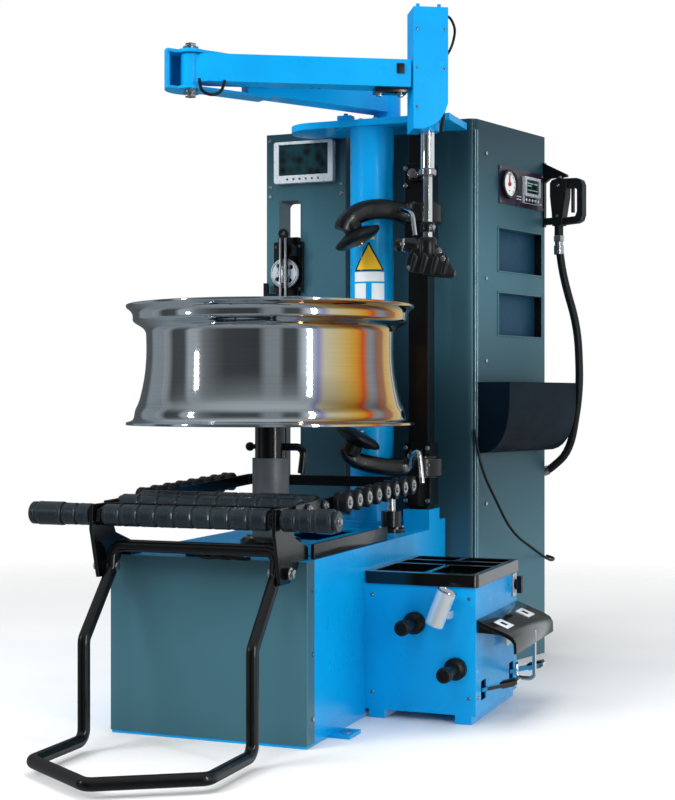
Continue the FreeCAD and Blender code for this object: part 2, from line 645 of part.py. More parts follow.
def inner_link():
    reach = "%.1f" % math.hypot(value("elbow_across - shoulder_across"),
                                value("elbow_back - shoulder_back"))
    middle = (reach, "0")
    barrel = rod("shoulder_barrel", "z", "37.5", ("1516", "1630"), ("0", "0"))
    beam = box("inner_beam", ("15", "450"), ("-32", "32"), ("1541", "1626"))
    web = slab("inner_web", "XY_Plane", [("440", "-32"), ("440", "32"), ("470", "32"), ("470", "20"),
                                         ("452", "-32")],
               "link_low", "link_high")
    parts = [barrel, beam, web]
    open_side = ("500", "700"), ("0", "80"), ("1500", "1700")
    near_side = ("500", reach + " - 46"), ("-80", "80"), ("1500", "1700")
    for word, low, high in (("low", "link_low", "link_low + 6"), ("high", "link_high - 8", "link_high")):
        parts.append(box("clevis_" + word, ("400", reach), ("-32", "32"), (low, high)))
        parts.append(rod("clevis_eye_" + word, "z", "36", (low, high), middle))
        parts.append(cut("skirt_" + word, rod("skirt_disc_" + word, "z", "66", (low, high), middle),
                         box("disc_open_" + word, *open_side), box("disc_near_" + word, *near_side)))
    parts.append(cut("elbow_skirt", rod("skirt_out", "z", "66", ("link_low", "link_high"), middle),
                     rod("skirt_in", "z", "58", ("link_low - 1", "link_high + 1"), middle),
                     box("skirt_open", ("300", "700"), ("-4", "80"), ("1500", "1700")),
                     box("skirt_near", *near_side)))
    bores = [rod("shoulder_bore", "z", "shoulder_pin_r + run_clear", ("1500", "1700"), ("0", "0")),
             rod("elbow_bore_inner", "z", "elbow_pin_r + run_clear", ("1500", "1700"), middle)]
    piece("inner_link", arm_frame(cut("inner_cut", join("inner_solid", *parts), *bores),
                                  ("shoulder_across", "shoulder_back"), ("elbow_across", "elbow_back")))


def elbow_pin():
    at = ("elbow_across", "elbow_back")
    shank = rod("elbow_shank", "z", "elbow_pin_r", ("link_low - 2", "link_high + 2"), at)
    low = rod("elbow_nut_low", "z", "17", ("link_low - 10", "link_low"), at)
    high = rod("elbow_nut_high", "z", "13", ("link_high", "link_high + 12"), at)
    piece("elbow_pin", join("elbow_pin", shank, low, high))


def outer_link():
    elbow = ("elbow_across", "elbow_back")
    head = ("head_across", "head_back")
    barrel = rod("elbow_barrel", "z", "25", ("1543", "1624"), ("0", "0"))
    beam = box("outer_beam", ("12", "562"), ("-33", "33"), ("1553", "1623"))
    edge = slab("outer_taper", "XY_Plane", [("12", "-40"), ("60", "-40"), ("12", "-20")], "1500", "1700")
    back = slab("outer_taper_back", "XY_Plane", [("12", "20"), ("60", "40"), ("12", "40")], "1500", "1700")
    shaped = cut("outer_shaped", beam, edge, back)
    bore = rod("elbow_bore", "z", "elbow_pin_r + run_clear", ("1500", "1700"), ("0", "0"))
    solid = cut("outer_cut", join("outer_solid", barrel, shaped), bore)
    piece("outer_link", arm_frame(solid, elbow, head))


def head_box():
    head = ("head_across", "head_back")
    turn = math.degrees(math.atan2(value("head_back - elbow_back"), value("head_across - elbow_across")))
    face = [("-head_half", "head_low"), ("-head_half", "head_high"), ("head_half", "head_high"),
            ("head_half", "1512"), ("38", "1490"), ("24", "1468"), ("2", "1452"), ("-20", "head_low")]
    case = slab("head_case", "XZ_Plane", face, "-head_half", "head_half")
    bore = rod("head_bore", "z", "18 + run_clear", ("1430", "1745"), ("0", "0"))
    guide = cut("head_guide", rod("guide_out", "z", "30", ("1444", "1470"), ("0", "0")),
                rod("guide_in", "z", "18 + run_clear", ("1440", "1475"), ("0", "0")))
    bolts = []
    for across in ("-26", "30"):
        bolts.append(rod("head_bolt", "z", "8", ("head_high", "head_high + 8"), (across, "0")))
        bolts.append(rod("head_stud", "z", "5", ("head_high + 8", "head_high + 18"), (across, "0")))
    solid = join("head_solid", cut("head_cut", case, bore), guide, *bolts)
    piece("head_box", swung(solid, head, turn))


def tool_shaft():
    at = ("head_across", "head_back")
    inside = rod("shaft_inside", "z", "18", ("1343", "1610"), at)
    hexagon = doc.addObject("Part::Prism", "shaft_hex")
    hexagon.Polygon = 6
    hexagon.setExpression("Circumradius", bound("tool_shaft_r - 1"))
    hexagon.Height = 1344 - 1150
    move(hexagon, (at[0], at[1], "1150"))
    collar = rod("shaft_collar", "z", "22", ("1336", "1346"), at)
    piece("tool_shaft", join("tool_shaft", inside, hexagon, collar))


def tool_head():
    hub = rod("tool_hub", "z", "24", ("1118", "1168"), ("0", "0"))
    wing = slab("tool_wing", "XZ_Plane", [("-30", "1150"), ("-58", "1092"), ("-40", "1080"), ("66", "1066"),
                                          ("74", "1078"), ("52", "1112"), ("14", "1160"), ("-10", "1172")],
                "-22", "22")
    roller_bar = slant("tool_roller", "19", "60", ("-22", "0", "1150"), (-1, 0, 0.12))
    hook = slab("tool_hook", "XZ_Plane", [("-60", "1092"), ("-74", "1070"), ("-60", "1063"),
                                          ("-36", "1082")],
                "-14", "14")
    ribs = [box("tool_rib_%d" % i, ("%d" % (-30 + 22 * i), "%d" % (-22 + 22 * i)), ("-28", "28"),
                ("1074", "1120"))
            for i in range(4)]
    solid = join("tool_solid", hub, wing, roller_bar, hook, *ribs)
    bore = rod("tool_bore", "z", "tool_shaft_r - 0.9", ("1149", "1200"), ("0", "0"))
    piece("tool_head", swung(cut("tool_cut", solid, bore), ("head_across", "head_back"), 14))


# ---------------------------------------------------------------- monitor housing and helper

def monitor_housing():
    x, y = ("housing_left", "housing_right"), ("housing_front", "housing_back")
    outer = box("housing_block", x, y, ("0", "housing_top"))
    inner = box("housing_hollow", ("housing_left + shell", "housing_right - shell"),
                ("housing_front + shell", "housing_back - shell"), ("shell", "housing_top - shell"))
    lining = box("slot_lining", ("slot_left - shell", "slot_right + shell"), y,
                 ("slot_low - shell", "slot_high + shell"))
    hole = rounded("slot_hole", box("slot_block", ("slot_left", "slot_right"),
                                    ("housing_front - 1", "housing_back + 1"), ("slot_low", "slot_high")),
                                    14,
                   lambda a, b: abs(a.x - b.x) + abs(a.z - b.z) < 1e-6)
    piece("monitor_housing", cut("monitor_housing",
                                 join("housing_lined", cut("housing_shell", outer, inner), lining),
                                 hole))


def monitor():
    x, z = ("-273", "-91"), ("1373", "1492")
    case = box("bezel_block", x, ("housing_front - 22", "housing_front"), z)
    case = rounded("bezel_round", case, 7, lambda a, b: abs(a.x - b.x) + abs(a.z - b.z) < 1e-6)
    window = box("bezel_window", ("-258", "-106"), ("housing_front - 30", "housing_front - 16"),
                 ("1395", "1484"))
    piece("monitor_bezel", cut("monitor_bezel", case, window))
    piece("monitor_screen", box("monitor_screen", ("-258", "-106"),
                                ("housing_front - 18", "housing_front - 16"),
                                ("1395", "1484")))


def helper():
    wheel_at = ("helper_across", "helper_level")
    middle = "(strip_left + strip_right) / 2"
    block = box("helper_block", ("slot_left + 2", "slot_right - 2"), ("650", "755"), ("1050", "1218"))
    front = box("helper_plate", ("-276", "-187"), ("650", "housing_front - 1"), ("1060", "1205"))
    fork = cut("helper_fork", box("fork_block", ("-302", "-252"), ("634", "652"), ("1044", "1087")),
               box("fork_gap", ("-292", "-262"), ("630", "656"), ("1056", "1088")))
    strip = box("helper_strip", ("strip_left", "strip_right"), ("604", "614"), ("900", "1222"))
    eye = rod("helper_eye", "y", "14.5", ("604", "614"), (middle, "1224"))
    openings = [rod("helper_eye_hole", "y", "6", ("600", "618"), (middle, "1226"))]
    for word, low, high in (("low", "930", "1082"), ("high", "1134", "1206")):
        openings.append(box("helper_slot_" + word, (middle + " - 4.5", middle + " + 4.5"), ("600", "618"),
                            (low, high)))
    bar = cut("helper_bar", join("helper_bar_body", strip, eye), *openings)
    clamp = box("helper_clamp", ("strip_left", "strip_right + 20"), ("612", "652"), ("1160", "1190"))
    axle = rod("helper_axle", "y", "7", ("617", "652"), wheel_at)
    piece("helper_carriage", join("helper_carriage", block, front, fork, bar, clamp, axle))
    rim = rod("helper_disc", "y", "41.5", ("621", "632"), wheel_at)
    boss = rod("helper_hub", "y", "14", ("618", "644"), wheel_at)
    bore = rod("helper_bore", "y", "7 + run_clear", ("600", "660"), wheel_at)
    holes = []
    for i in range(4):
        angle = math.radians(39 + 90 * i)
        holes.append(rod("helper_hole_%d" % i, "y", "7", ("600", "660"),
                         ("helper_across + %g" % (27 * math.cos(angle)),
                          "helper_level + %g" % (27 * math.sin(angle)))))
    piece("helper_wheel", cut("helper_wheel", join("helper_wheel_body", rim, boss), bore, *holes))


# ---------------------------------------------------------------- tower cabinet and its fittings

def tower_outline(inset):
    """Plan corners of the cabinet, pulled in by a distance."""
    back_x = "tower_right + tower_lean_x * tower_side"
    back_y = "tower_front + tower_lean_y * tower_side"
    return [("%g" % inset, "tower_front + %g" % inset),
            ("tower_right - %g" % inset, "tower_front + %g" % inset),
            (back_x + " - %g" % (1.3 * inset), back_y + " - %g" % inset),
            ("%g" % inset, back_y + " - %g" % inset)]


def tower_cabinet():
    outer = rounded("tower_round", slab("tower_block", "XY_Plane", tower_outline(0), "0", "tower_top"), 26,
                    lambda a, b: upright(a, b) and abs(a.x - value("tower_right")) < 1)
    inner = slab("tower_hollow", "XY_Plane", tower_outline(4), "shell", "tower_top - shell")
    lined = []
    open_space = []
    for name, low, high in (("high_pocket", "1117", "1238"), ("low_pocket", "935", "1054")):
        lined.append(on_side(box(name + "_lining", ("122", "371"), ("0.5", "30"),
                                 (low + " - 4", high + " + 4"))))
        open_space.append(on_side(box(name, ("126", "367"), ("-5", "26"), (low, high))))
    shell = cut("tower_shell", outer, inner)
    back_y = "tower_front + tower_lean_y * tower_side"
    lined.append(rod("air_inlet", "y", "6.5", (back_y + " - 2", back_y + " + 28"), ("80", "1300")))
    piece("tower_cabinet", cut("tower_cabinet", join("tower_lined", shell, *lined), *open_space))


def storage_bin():
    low, high, deep = 602, 800, 105

    def trough(inset):
        """Quarter-round section of the bin, pulled in by the sheet thickness."""
        corners = [(str(-inset), str(low + inset)), (str(-inset), str(high + (1 if inset else 0)))]
        corners.append((str(inset - deep), corners[-1][1]))
        for i in range(9):
            angle = math.radians(90 * i / 9)
            corners.append(("%g" % ((inset - deep) * math.cos(angle) ** 0.75),
                            "%g" % (high - 30 - (high - 30 - low - inset) * math.sin(angle) ** 0.85)))
        return corners

    shell = slab("bin_block", "YZ_Plane", trough(0), "15", "tower_side")
    hollow = slab("bin_hollow", "YZ_Plane", trough(4), "19", "tower_side - 4")
    piece("storage_bin", on_side(cut("bin_cut", shell, hollow)))


def instruments():
    piece("gauge_panel", on_side(box("panel_sheet", ("126", "372"), ("-3", "0"), ("1308", "1416"))))
    middle = ("gauge_along", "gauge_level")
    case = rod("gauge_case", "y", "41.5", ("-14", "-3"), middle)
    face = rod("gauge_recess", "y", "36", ("-15", "-7"), middle)
    pivot = rod("gauge_pivot", "y", "2", ("-12", "-6"), middle)
    piece("pressure_gauge", on_side(join("gauge_body", cut("gauge_dish", case, face), pivot)))
    outline = [("gauge_along - 2.5", "gauge_level - 6"), ("gauge_along + 2.5", "gauge_level - 6"),
               ("gauge_along + 0.8", "gauge_level + 30"), ("gauge_along - 0.8", "gauge_level + 30")]
    hand = slab("needle_blade", "XZ_Plane", outline, "-10.5", "-9")
    boss = rod("needle_boss", "y", "6", ("-11.5", "-8.5"), middle)
    hole = rod("needle_hole", "y", "2 + run_clear", ("-30", "0"), middle)
    piece("gauge_needle", on_side(cut("needle_cut", join("needle_body", hand, boss), hole)))
    screen = box("display_case", ("display_left", "display_left + 86"), ("-14", "-3"), ("1342", "1398"))
    window = box("display_window", ("display_left + 8", "display_left + 78"), ("-15", "-11"), ("1350", "1390"))
    strip = box("display_keys", ("display_left", "display_left + 86"), ("-10", "-3"), ("1321", "1341"))
    piece("display_unit", on_side(group("display_body", cut("display_cut", screen, window), strip)))


def inflation_gun():
    strap = slab("holder_strap", "YZ_Plane", [("0", "1452"), ("-80", "1411"), ("-80", "1404"),
                                              ("-24", "1404"),
                                              ("-6", "1392"), ("0", "1392")], "373", "tower_side")
    back = box("holder_back", ("373", "tower_side"), ("-6", "0"), ("1262", "1452"))
    cradle = box("holder_cradle", ("373", "tower_side"), ("-34", "-2"), ("1268", "1288"))
    piece("gun_holder", on_side(join("holder_body", strap, back, cradle)))

    grip = slab("gun_grip", "YZ_Plane", [("-30", "1388"), ("-36", "1397"), ("-62", "1402"), ("-84", "1394"),
                                         ("-82", "1345"), ("-72", "1290"), ("-68", "1262"), ("-38", "1262"),
                                         ("-36", "1300"), ("-30", "1350")],
                "gun_along - 15", "gun_along + 15")
    frame = slab("gun_frame", "YZ_Plane", [("-60", "1400"), ("-116", "1397"), ("-130", "1390"),
                                           ("-136", "1376"),
                                           ("-136", "1288"), ("-130", "1272"), ("-116", "1266"),
                                           ("-60", "1264")],
                 "gun_along - 12", "gun_along + 12")
    gap = slab("gun_gap", "YZ_Plane", [("-78", "1370"), ("-112", "1370"), ("-118", "1362"),
                                       ("-118", "1300"),
                                       ("-112", "1286"), ("-70", "1284")], "gun_along - 20",
                                       "gun_along + 20")
    slot = box("trigger_slot", ("gun_along - 7", "gun_along + 7"), ("-112", "-86"), ("1360", "1388"))
    bore = rod("trigger_bore", "x", "4 + run_clear", ("gun_along - 20", "gun_along + 20"),
               ("trigger_out", "trigger_level"))
    neck = rod("gun_neck", "z", "13", ("1234", "1266"), ("gun_along", "-52"))
    loop = cut("gun_loop", frame, gap, slot, bore)
    piece("inflation_gun", on_side(join("gun_solid", grip, loop, neck)))

    lever = box("trigger_lever", ("gun_along - 6", "gun_along + 6"), ("trigger_out - 3", "trigger_out + 3"),
                ("1298", "trigger_level"))
    eye = rod("trigger_eye", "x", "8", ("gun_along - 6", "gun_along + 6"), ("trigger_out", "trigger_level"))
    pin = rod("trigger_pin", "x", "4", ("gun_along - 12", "gun_along + 12"),
              ("trigger_out", "trigger_level"))
    piece("gun_trigger", on_side(join("trigger_body", lever, eye, pin)))


def hoses():
    fitting = on_side(rod("hose_fitting", "z", "15", ("1194", "1234"), ("gun_along", "-52")))
    hose = bent_rod("gun_hose", "11", [("473.8", "1027.4", "1210"), ("486", "1031", "1110"),
                                       ("528", "1038", "960"),
                                      ("534", "1040", "780"), ("500", "1064", "600"),
                                      ("440", "1066", "545"),
                                      ("424", "1064", "539")], 24)
    cable = bent_rod("control_cable", "4", [("318", "675", "667"), ("338", "668", "560"),
                                            ("400", "760", "380"),
                                            ("470", "930", "285"), ("462", "1030", "283"),
                                            ("432", "1050", "288")], 20)
    piece("hoses", group("hoses", join("hose_body", fitting, hose), cable))


# ---------------------------------------------------------------- control box

def control_box():
    x, y, z = ("box_left", "box_right"), ("box_front", "box_back"), ("box_low", "box_high")
    outer = box("box_block", x, y, z)
    inner = box("box_hollow", ("box_left + shell", "box_right - shell"),
                ("box_front + shell", "box_back - shell"),
                ("box_low + shell", "box_high - shell"))
    slots = [box("pedal_slot_" + word, ("box_right - 10", "box_right + 10"),
                 ("pedal_%s_at - pedal_half - 5" % word, "pedal_%s_at + pedal_half + 5" % word),
                 ("pedal_level - 8", "pedal_level + 38")) for word in ("front", "rear")]
    pivot = rod("pedal_pivot", "y", "6", ("box_front + 2", "box_back - 2"), ("pedal_hinge", "pedal_level"))
    feet = [box("box_foot_%d" % i, (low, high), y, ("0", "box_low")) for i, (low, high) in
            enumerate((("box_left + 10", "box_left + 50"), ("box_right - 50", "box_right - 10")))]
    piece("control_box", join("control_box", cut("box_shell", outer, inner, *slots), pivot, *feet))


def tool_tray():
    block = rounded("tray_round", box("tray_block", ("box_left + 1", "box_right + 6"),
                                      ("box_front - 6", "box_back + 6"),
                                      ("box_high", "tray_high")), 14, upright)
    wells = []
    for i, (left, right, front, back) in enumerate(((255, 380, 30, 200), (392, 500, 30, 200),
                                                    (255, 500, 212, 290),
                                                    (255, 370, 302, 380), (382, 500, 302, 380))):
        well = box("tray_well_%d" % i, (str(left), str(right)), (str(front), str(back)),
                   ("box_high + 8", "tray_high + 1"))
        wells.append(rounded("tray_well_round_%d" % i, well, 10, upright))
    piece("tool_tray", cut("tool_tray", block, *wells))


def cone_pegs():
    pegs = []
    for i, (across, level) in enumerate(((363, 229), (463, 128))):
        at = (str(across), str(level))
        base = rod("peg_base_%d" % i, "y", "26", ("box_front - 14", "box_front"), at)
        stem = rod("peg_stem_%d" % i, "y", "12", ("box_front - 84", "box_front - 10"), at)
        knob = rod("peg_knob_%d" % i, "y", "16", ("box_front - 104", "box_front - 78"), at)
        pegs.append(join("peg_%d" % i, base, stem, knob))
    piece("cone_pegs", group("cone_pegs", *pegs))


def brush_cup():
    tilt = math.radians(22)
    lean = (math.sin(tilt), 0, math.cos(tilt))
    low = ("%g" % (440 - 42 * lean[0]), "-35", "%g" % (273 - 42 * lean[2]))
    tube = slant("cup_tube", "22", "85", low, lean)
    hollow_at = ("%g" % (440 - 37 * lean[0]), "-35", "%g" % (273 - 37 * lean[2]))
    hollow = slant("cup_hollow", "19.5", "90", hollow_at, lean)
    clip = box("cup_clip", ("424", "456"), ("-18", "box_front"), ("246", "262"))
    piece("brush_cup", cut("brush_cup", join("cup_body", tube, clip), hollow))


def pedal_parts():
    profile = [("box_right", "242"), ("605", "205"), ("605", "170"), ("601", "170"), ("601", "201.5"),
               ("box_right", "237")]
    hood = slab("hood_sheet", "XZ_Plane", profile, "box_front + 7", "box_back")
    cheek = slab("hood_cheek", "XZ_Plane", [("box_right", "241"), ("604", "204.5"), ("604", "171"),
                                            ("box_right", "200")], "box_front + 7", "box_front + 10")
    bail = bent_rod("pedal_bail", "5", [("599", "208", "200"), ("599", "208", "80"), ("556", "208", "80"),
                                        ("556", "208", "116")], 12)
    piece("pedal_hood", join("pedal_hood", hood, cheek, bail))
    for word in ("front", "rear"):
        name = "pedal_" + word
        y = ("pedal_%s_at - pedal_half" % word, "pedal_%s_at + pedal_half" % word)
        arm = slab(name + "_arm", "XZ_Plane", [("pedal_hinge", "pedal_level - 5"),
                                               ("595", "pedal_level + 35"),
                                               ("595", "pedal_level + 44"),
                                               ("pedal_hinge", "pedal_level + 4")], *y)
        pad = slab(name + "_pad", "XZ_Plane", [("558", "pedal_level + 22"), ("590", "pedal_level + 31"),
                                               ("590", "pedal_level + 36"), ("558", "pedal_level + 28")],
                                               *y)
        hub = rod(name + "_hub", "y", "12", y, ("pedal_hinge", "pedal_level"))
        bore = rod(name + "_bore", "y", "6 + run_clear", ("0", "400"), ("pedal_hinge", "pedal_level"))
        piece(name, cut(name, join(name + "_body", arm, pad, hub), bore))


def power_switch():
    at = ("360", "286")
    shaft = rod("switch_shaft", "x", "7", ("box_right", "box_right + 12"), at)
    knob = rod("switch_knob", "x", "13", ("box_right + 4", "box_right + 12"), at)
    lever = box("switch_lever", ("box_right + 10", "box_right + 22"), ("351", "369"), ("265", "307"))
    piece("power_switch", join("power_switch", shaft, knob, lever))


def panel_screws():
    heads = []

    def screw(axis, span_at, cross, radius="5"):
        heads.append(rod("screw_%d" % len(heads), axis, radius, span_at, cross))

    front = ("housing_front - 3", "housing_front")
    for level in ("1366", "1500", "1340"):
        for across in ("housing_left + 12", "housing_right - 12"):
            screw("y", front, (across, level))
    for level in ("1496", "1490"):
        screw("y", ("tower_front - 3", "tower_front"), ("tower_right - 50" if level == "1496" else "170",
                                                        level))
    for level in (120, 460, 860, 1090, 1440):
        heads.append(on_side(rod("side_screw_%d" % level, "y", "5", ("-3", "0"), ("60", str(level)))))
    side = ("base_half + cover_sheet", "base_half + cover_sheet + 3")
    for level in ("60", "200", "340"):
        screw("x", side, ("base_front + 28", level))
        screw("x", ("-base_half - cover_sheet - 3", "-base_half - cover_sheet"), ("base_front + 28", level))
    piece("panel_screws", group("panel_screws", *heads))


for build in (base_frame, front_cover, lift_brackets, column, guide_rail, top_plate, gearbox, belt_drive,
              spindle_post, lock_pin, wheel_rim, clamp_nut, rollers, table_frame, table_jack, wheel_lift,
              disc_arms, inner_link, elbow_pin, outer_link, head_box, tool_shaft, tool_head,
              monitor_housing,
              monitor, helper, tower_cabinet, storage_bin, instruments, inflation_gun, hoses, control_box,
              tool_tray, cone_pegs, brush_cup, pedal_parts, power_switch, panel_screws):
    build()
doc.recompute()

for obj in doc.Objects:
    if "Invalid" in obj.State or "Error" in obj.State:
        raise RuntimeError("%s is %s" % (obj.Label, obj.State))
for obj in PIECES:
    if obj.Shape.isNull() or not obj.Shape.isValid() or not obj.Shape.Solids:
        raise RuntimeError("%s has no valid solid" % obj.Label)

os.makedirs("parts", exist_ok=True)
for obj in PIECES:
    obj.Shape.exportStep("parts/%s.step" % obj.Label)
print("%d sub-parts" % len(PIECES))
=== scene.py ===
import json
from math import atan2, copysign, cos, pi, radians, sin, tau

import bmesh
import bpy
from mathutils import Matrix, Vector


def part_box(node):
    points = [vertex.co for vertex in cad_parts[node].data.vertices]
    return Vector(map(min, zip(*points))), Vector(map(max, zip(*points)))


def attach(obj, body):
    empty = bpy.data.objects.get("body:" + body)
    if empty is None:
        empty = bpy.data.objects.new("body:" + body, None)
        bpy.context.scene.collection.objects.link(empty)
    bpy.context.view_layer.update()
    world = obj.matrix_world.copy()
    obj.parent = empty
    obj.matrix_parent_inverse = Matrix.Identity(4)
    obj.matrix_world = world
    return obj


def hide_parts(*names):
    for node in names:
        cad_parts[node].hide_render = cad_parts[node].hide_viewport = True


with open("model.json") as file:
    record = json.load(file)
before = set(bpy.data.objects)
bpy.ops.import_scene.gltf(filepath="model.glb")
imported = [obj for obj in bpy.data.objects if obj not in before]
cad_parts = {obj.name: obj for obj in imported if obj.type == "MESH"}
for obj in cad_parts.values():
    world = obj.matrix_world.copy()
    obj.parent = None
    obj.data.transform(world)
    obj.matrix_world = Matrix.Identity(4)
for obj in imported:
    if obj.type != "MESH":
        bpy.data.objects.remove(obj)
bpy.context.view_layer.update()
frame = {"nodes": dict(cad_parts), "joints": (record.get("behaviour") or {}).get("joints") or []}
NODES = frame["nodes"]
JOINT = {j["name"]: j for j in frame["joints"]}
MM = 0.001
UP = Vector((0, 0, 1))


# ---- materials

def srgb(r, g, b):
    """Linear colour from 0-255 screen values."""
    return (*(pow((c / 255 + 0.055) / 1.055, 2.4) if c > 10 else c / 255 / 12.92 for c in (r, g, b)), 1)


class Tree:
    """Shader nodes of a material or the world."""

    def __init__(self, owner):
        owner.use_nodes = True
        self.nodes = owner.node_tree.nodes
        self.links = owner.node_tree.links

    def feed(self, socket, value):
        """Join an input to an output, or set it; None leaves it alone."""
        if isinstance(value, bpy.types.NodeSocket):
            self.links.new(value, socket)
        elif value is not None:
            socket.default_value = value

    def add(self, kind, *values, **settings):
        """New node with settings, its inputs fed in order."""
        node = self.nodes.new("ShaderNode" + kind)
        for key, value in settings.items():
            setattr(node, key, value)
        for socket, value in zip(node.inputs, values):
            self.feed(socket, value)
        return node

    def calc(self, operation, *values):
        """Result of a math node."""
        return self.add("Math", *values, operation=operation).outputs["Value"]

    def span(self, value, low=0.0, high=1.0, start=0.3, end=0.7):
        """Value between start and end spread over low to high."""
        return self.add("MapRange", value, start, end, low, high).outputs["Result"]

    def mix(self, factor, a, b, blend="MIX"):
        """Colour between a and b."""
        node = self.add("Mix", factor, data_type="RGBA", blend_type=blend)
        for socket, colour in zip([s for s in node.inputs if s.type == "RGBA"], (a, b)):
            self.feed(socket, colour)
        return [s for s in node.outputs if s.type == "RGBA"][0]

    def ramp(self, factor, stops):
        """Colour ramp over (place, colour) stops."""
        node = self.add("ValToRGB", factor)
        elements = node.color_ramp.elements
        while len(elements) < len(stops):
            elements.new(0.5)
        for element, (place, tone) in zip(elements, stops):
            element.position = place
            element.color = (*tone, 1)
        return node.outputs["Color"]


class Surface(Tree):
    def __init__(self, name, **values):
        self.mat = bpy.data.materials.new(name)
        super().__init__(self.mat)
        self.shader = self.nodes["Principled BSDF"]
        self.coords = self.add("TexCoord").outputs
        self.put(**values)

    def put(self, **values):
        """Feed the shader's inputs by name."""
        for key, value in values.items():
            self.feed(self.shader.inputs[key.replace("_", " ")], value)

    def noise(self, scale, detail=4.0, stretch=None, rough=0.5):
        """Noise over the object, stretched along its axes if asked."""
        space = self.coords["Object"]
        if stretch:
            space = self.add("Mapping", space, None, None, stretch).outputs["Vector"]
        return self.add("TexNoise", space, None, scale, detail, rough).outputs["Fac"]

    def edge_sheen_and_wear(self, radius):
        """Mask that is white along edges, and the softened normal."""
        bevel = self.add("Bevel", radius, samples=4).outputs["Normal"]
        true = self.add("NewGeometry").outputs["Normal"]
        dot = self.add("VectorMath", bevel, true, operation="DOT_PRODUCT").outputs["Value"]
        return self.span(dot, 1, 0, 0.75, 0.99), bevel

    def bump(self, height, strength, distance, normal):
        """Fine relief over a given normal."""
        node = self.add("Bump", strength, distance)
        self.feed(node.inputs["Height"], height)
        self.feed(node.inputs["Normal"], normal)
        self.put(Normal=node.outputs["Normal"])


def finish(name, dark, light, rough, grain=420, bump=0.12, edge=0.0012, wear_and_sheen=0.12, shine=0.5, coat=0.0,
           metal=0.0, stretch=None):
    """Patchy colour, uneven gloss, fine texture and soft edges, lightened partly for wear and partly as a
    painted edge highlight.
    """
    s = Surface(name, Metallic=metal, Coat_Weight=coat, Coat_Roughness=0.08, Specular_IOR_Level=shine)
    mask, soft = s.edge_sheen_and_wear(edge)
    body = s.mix(s.span(s.noise(3, 5, rough=0.6)), dark, light)
    # edges get a brighter copy of the light colour: partly wear, partly a painted edge highlight
    sheen_and_wear_tone = (*(min(1, c * (1 + 2.2 * wear_and_sheen) + 0.12 * wear_and_sheen) for c in light[:3]), 1)
    smudge = s.noise(18, 6, rough=0.65)
    s.put(Base_Color=s.mix(s.span(mask, 0, 1, 0, 1), body, sheen_and_wear_tone),
          Roughness=s.span(smudge, rough * 0.82, rough * 1.25))
    s.bump(s.noise(grain, 3, stretch), bump, 0.0006, soft)
    return s.mat


def paint(name, dark, light, *looks, **more):
    return finish(name, srgb(*dark), srgb(*light), *looks, **more)


def chrome(name, tone=0.86, rough=0.07, brush=None):
    dark, light = tone * 0.92, (tone, tone, tone * 1.02, 1)
    return finish(name, (dark, dark, dark, 1), light, rough, 700, 0.03, 0.0008, 0, metal=1, stretch=brush)


def paint_grey():
    """Satin metallic grey with painted bands of light and shade by height, broad random changes of tone, and
    edges lightened partly for wear, partly as a painted highlight.
    """
    s = Surface("grey_panel", Metallic=0.3, Coat_Weight=0.08, Coat_Roughness=0.3, Specular_IOR_Level=0.4)
    mask, soft = s.edge_sheen_and_wear(0.002)
    height = s.add("SeparateXYZ", s.coords["Object"]).outputs["Z"]
    # painted light and shade: a sine of height makes lighter and darker bands up the panels
    painted_light_bands = s.calc("SINE", s.calc("MULTIPLY_ADD", height, 6.4, 0.55))
    drift_and_painted_bands = s.calc("MULTIPLY_ADD", s.noise(1.1, 2, (0.6, 0.6, 0.9)), 2.2, painted_light_bands)
    tone = s.mix(s.span(drift_and_painted_bands, 0, 1, 0, 2.2), srgb(20, 54, 66), srgb(66, 110, 124))
    # edges lighter teal: partly wear, partly a painted edge highlight
    s.put(Base_Color=s.mix(s.span(mask, 0, 0.8, 0, 1), tone, srgb(120, 164, 178)),
          Roughness=s.span(s.noise(900, 2), 0.34, 0.5))
    s.bump(s.noise(320, 3), 0.08, 0.0005, soft)
    return s.mat


# painted reflection: colour of what the rim mirrors, by heading from -0.5 radians (0) to 1.7 radians (1)
PAINTED_RIM_REFLECTIONS = ((0, (1, 1, 1)), (0.02, (0.75, 0.85, 1)), (0.05, (0.62, 0.5, 0.8)), (0.1, (1, 0.84, 0.56)),
             (0.22, (1, 0.68, 0.28)), (0.3, (1, 0.56, 0.12)), (0.38, (1, 0.38, 0.04)),
             (0.44, (0.9, 0.12, 0.02)), (0.49, (0.5, 0.3, 0.22)), (0.53, (0.3, 0.36, 0.4)),
             (0.6, (0.4, 0.16, 0.1)), (0.68, (0.5, 0.18, 0.06)), (0.72, (1, 0.5, 0.1)),
             (0.82, (1, 0.62, 0.2)), (0.9, (0.4, 0.5, 0.55)), (1, (0.9, 0.95, 1)))


def polished_rim():
    """Mirror with faint turning marks and a painted reflection tint that follows the heading of what it
    mirrors.
    """
    s = Surface("polished_rim", Metallic=1.0)
    soft = s.edge_sheen_and_wear(0.0012)[1]
    turning = s.noise(5, 3, (1, 1, 160))
    silver = s.mix(s.span(turning), (0.66, 0.71, 0.75, 1), (0.74, 0.79, 0.83, 1))
    mirror = s.add("SeparateXYZ", s.coords["Reflection"]).outputs
    heading = s.span(s.calc("ARCTAN2", mirror["Y"], mirror["X"]), 0, 1, -0.5, 1.7)
    # painted reflection: the base colour is tinted by the heading of the reflected ray
    s.put(Base_Color=s.mix(1, silver, s.ramp(heading, PAINTED_RIM_REFLECTIONS), "MULTIPLY"),
          Roughness=s.span(turning, 0.04, 0.06))
    s.bump(turning, 0.008, 0.0003, soft)
    return s.mat


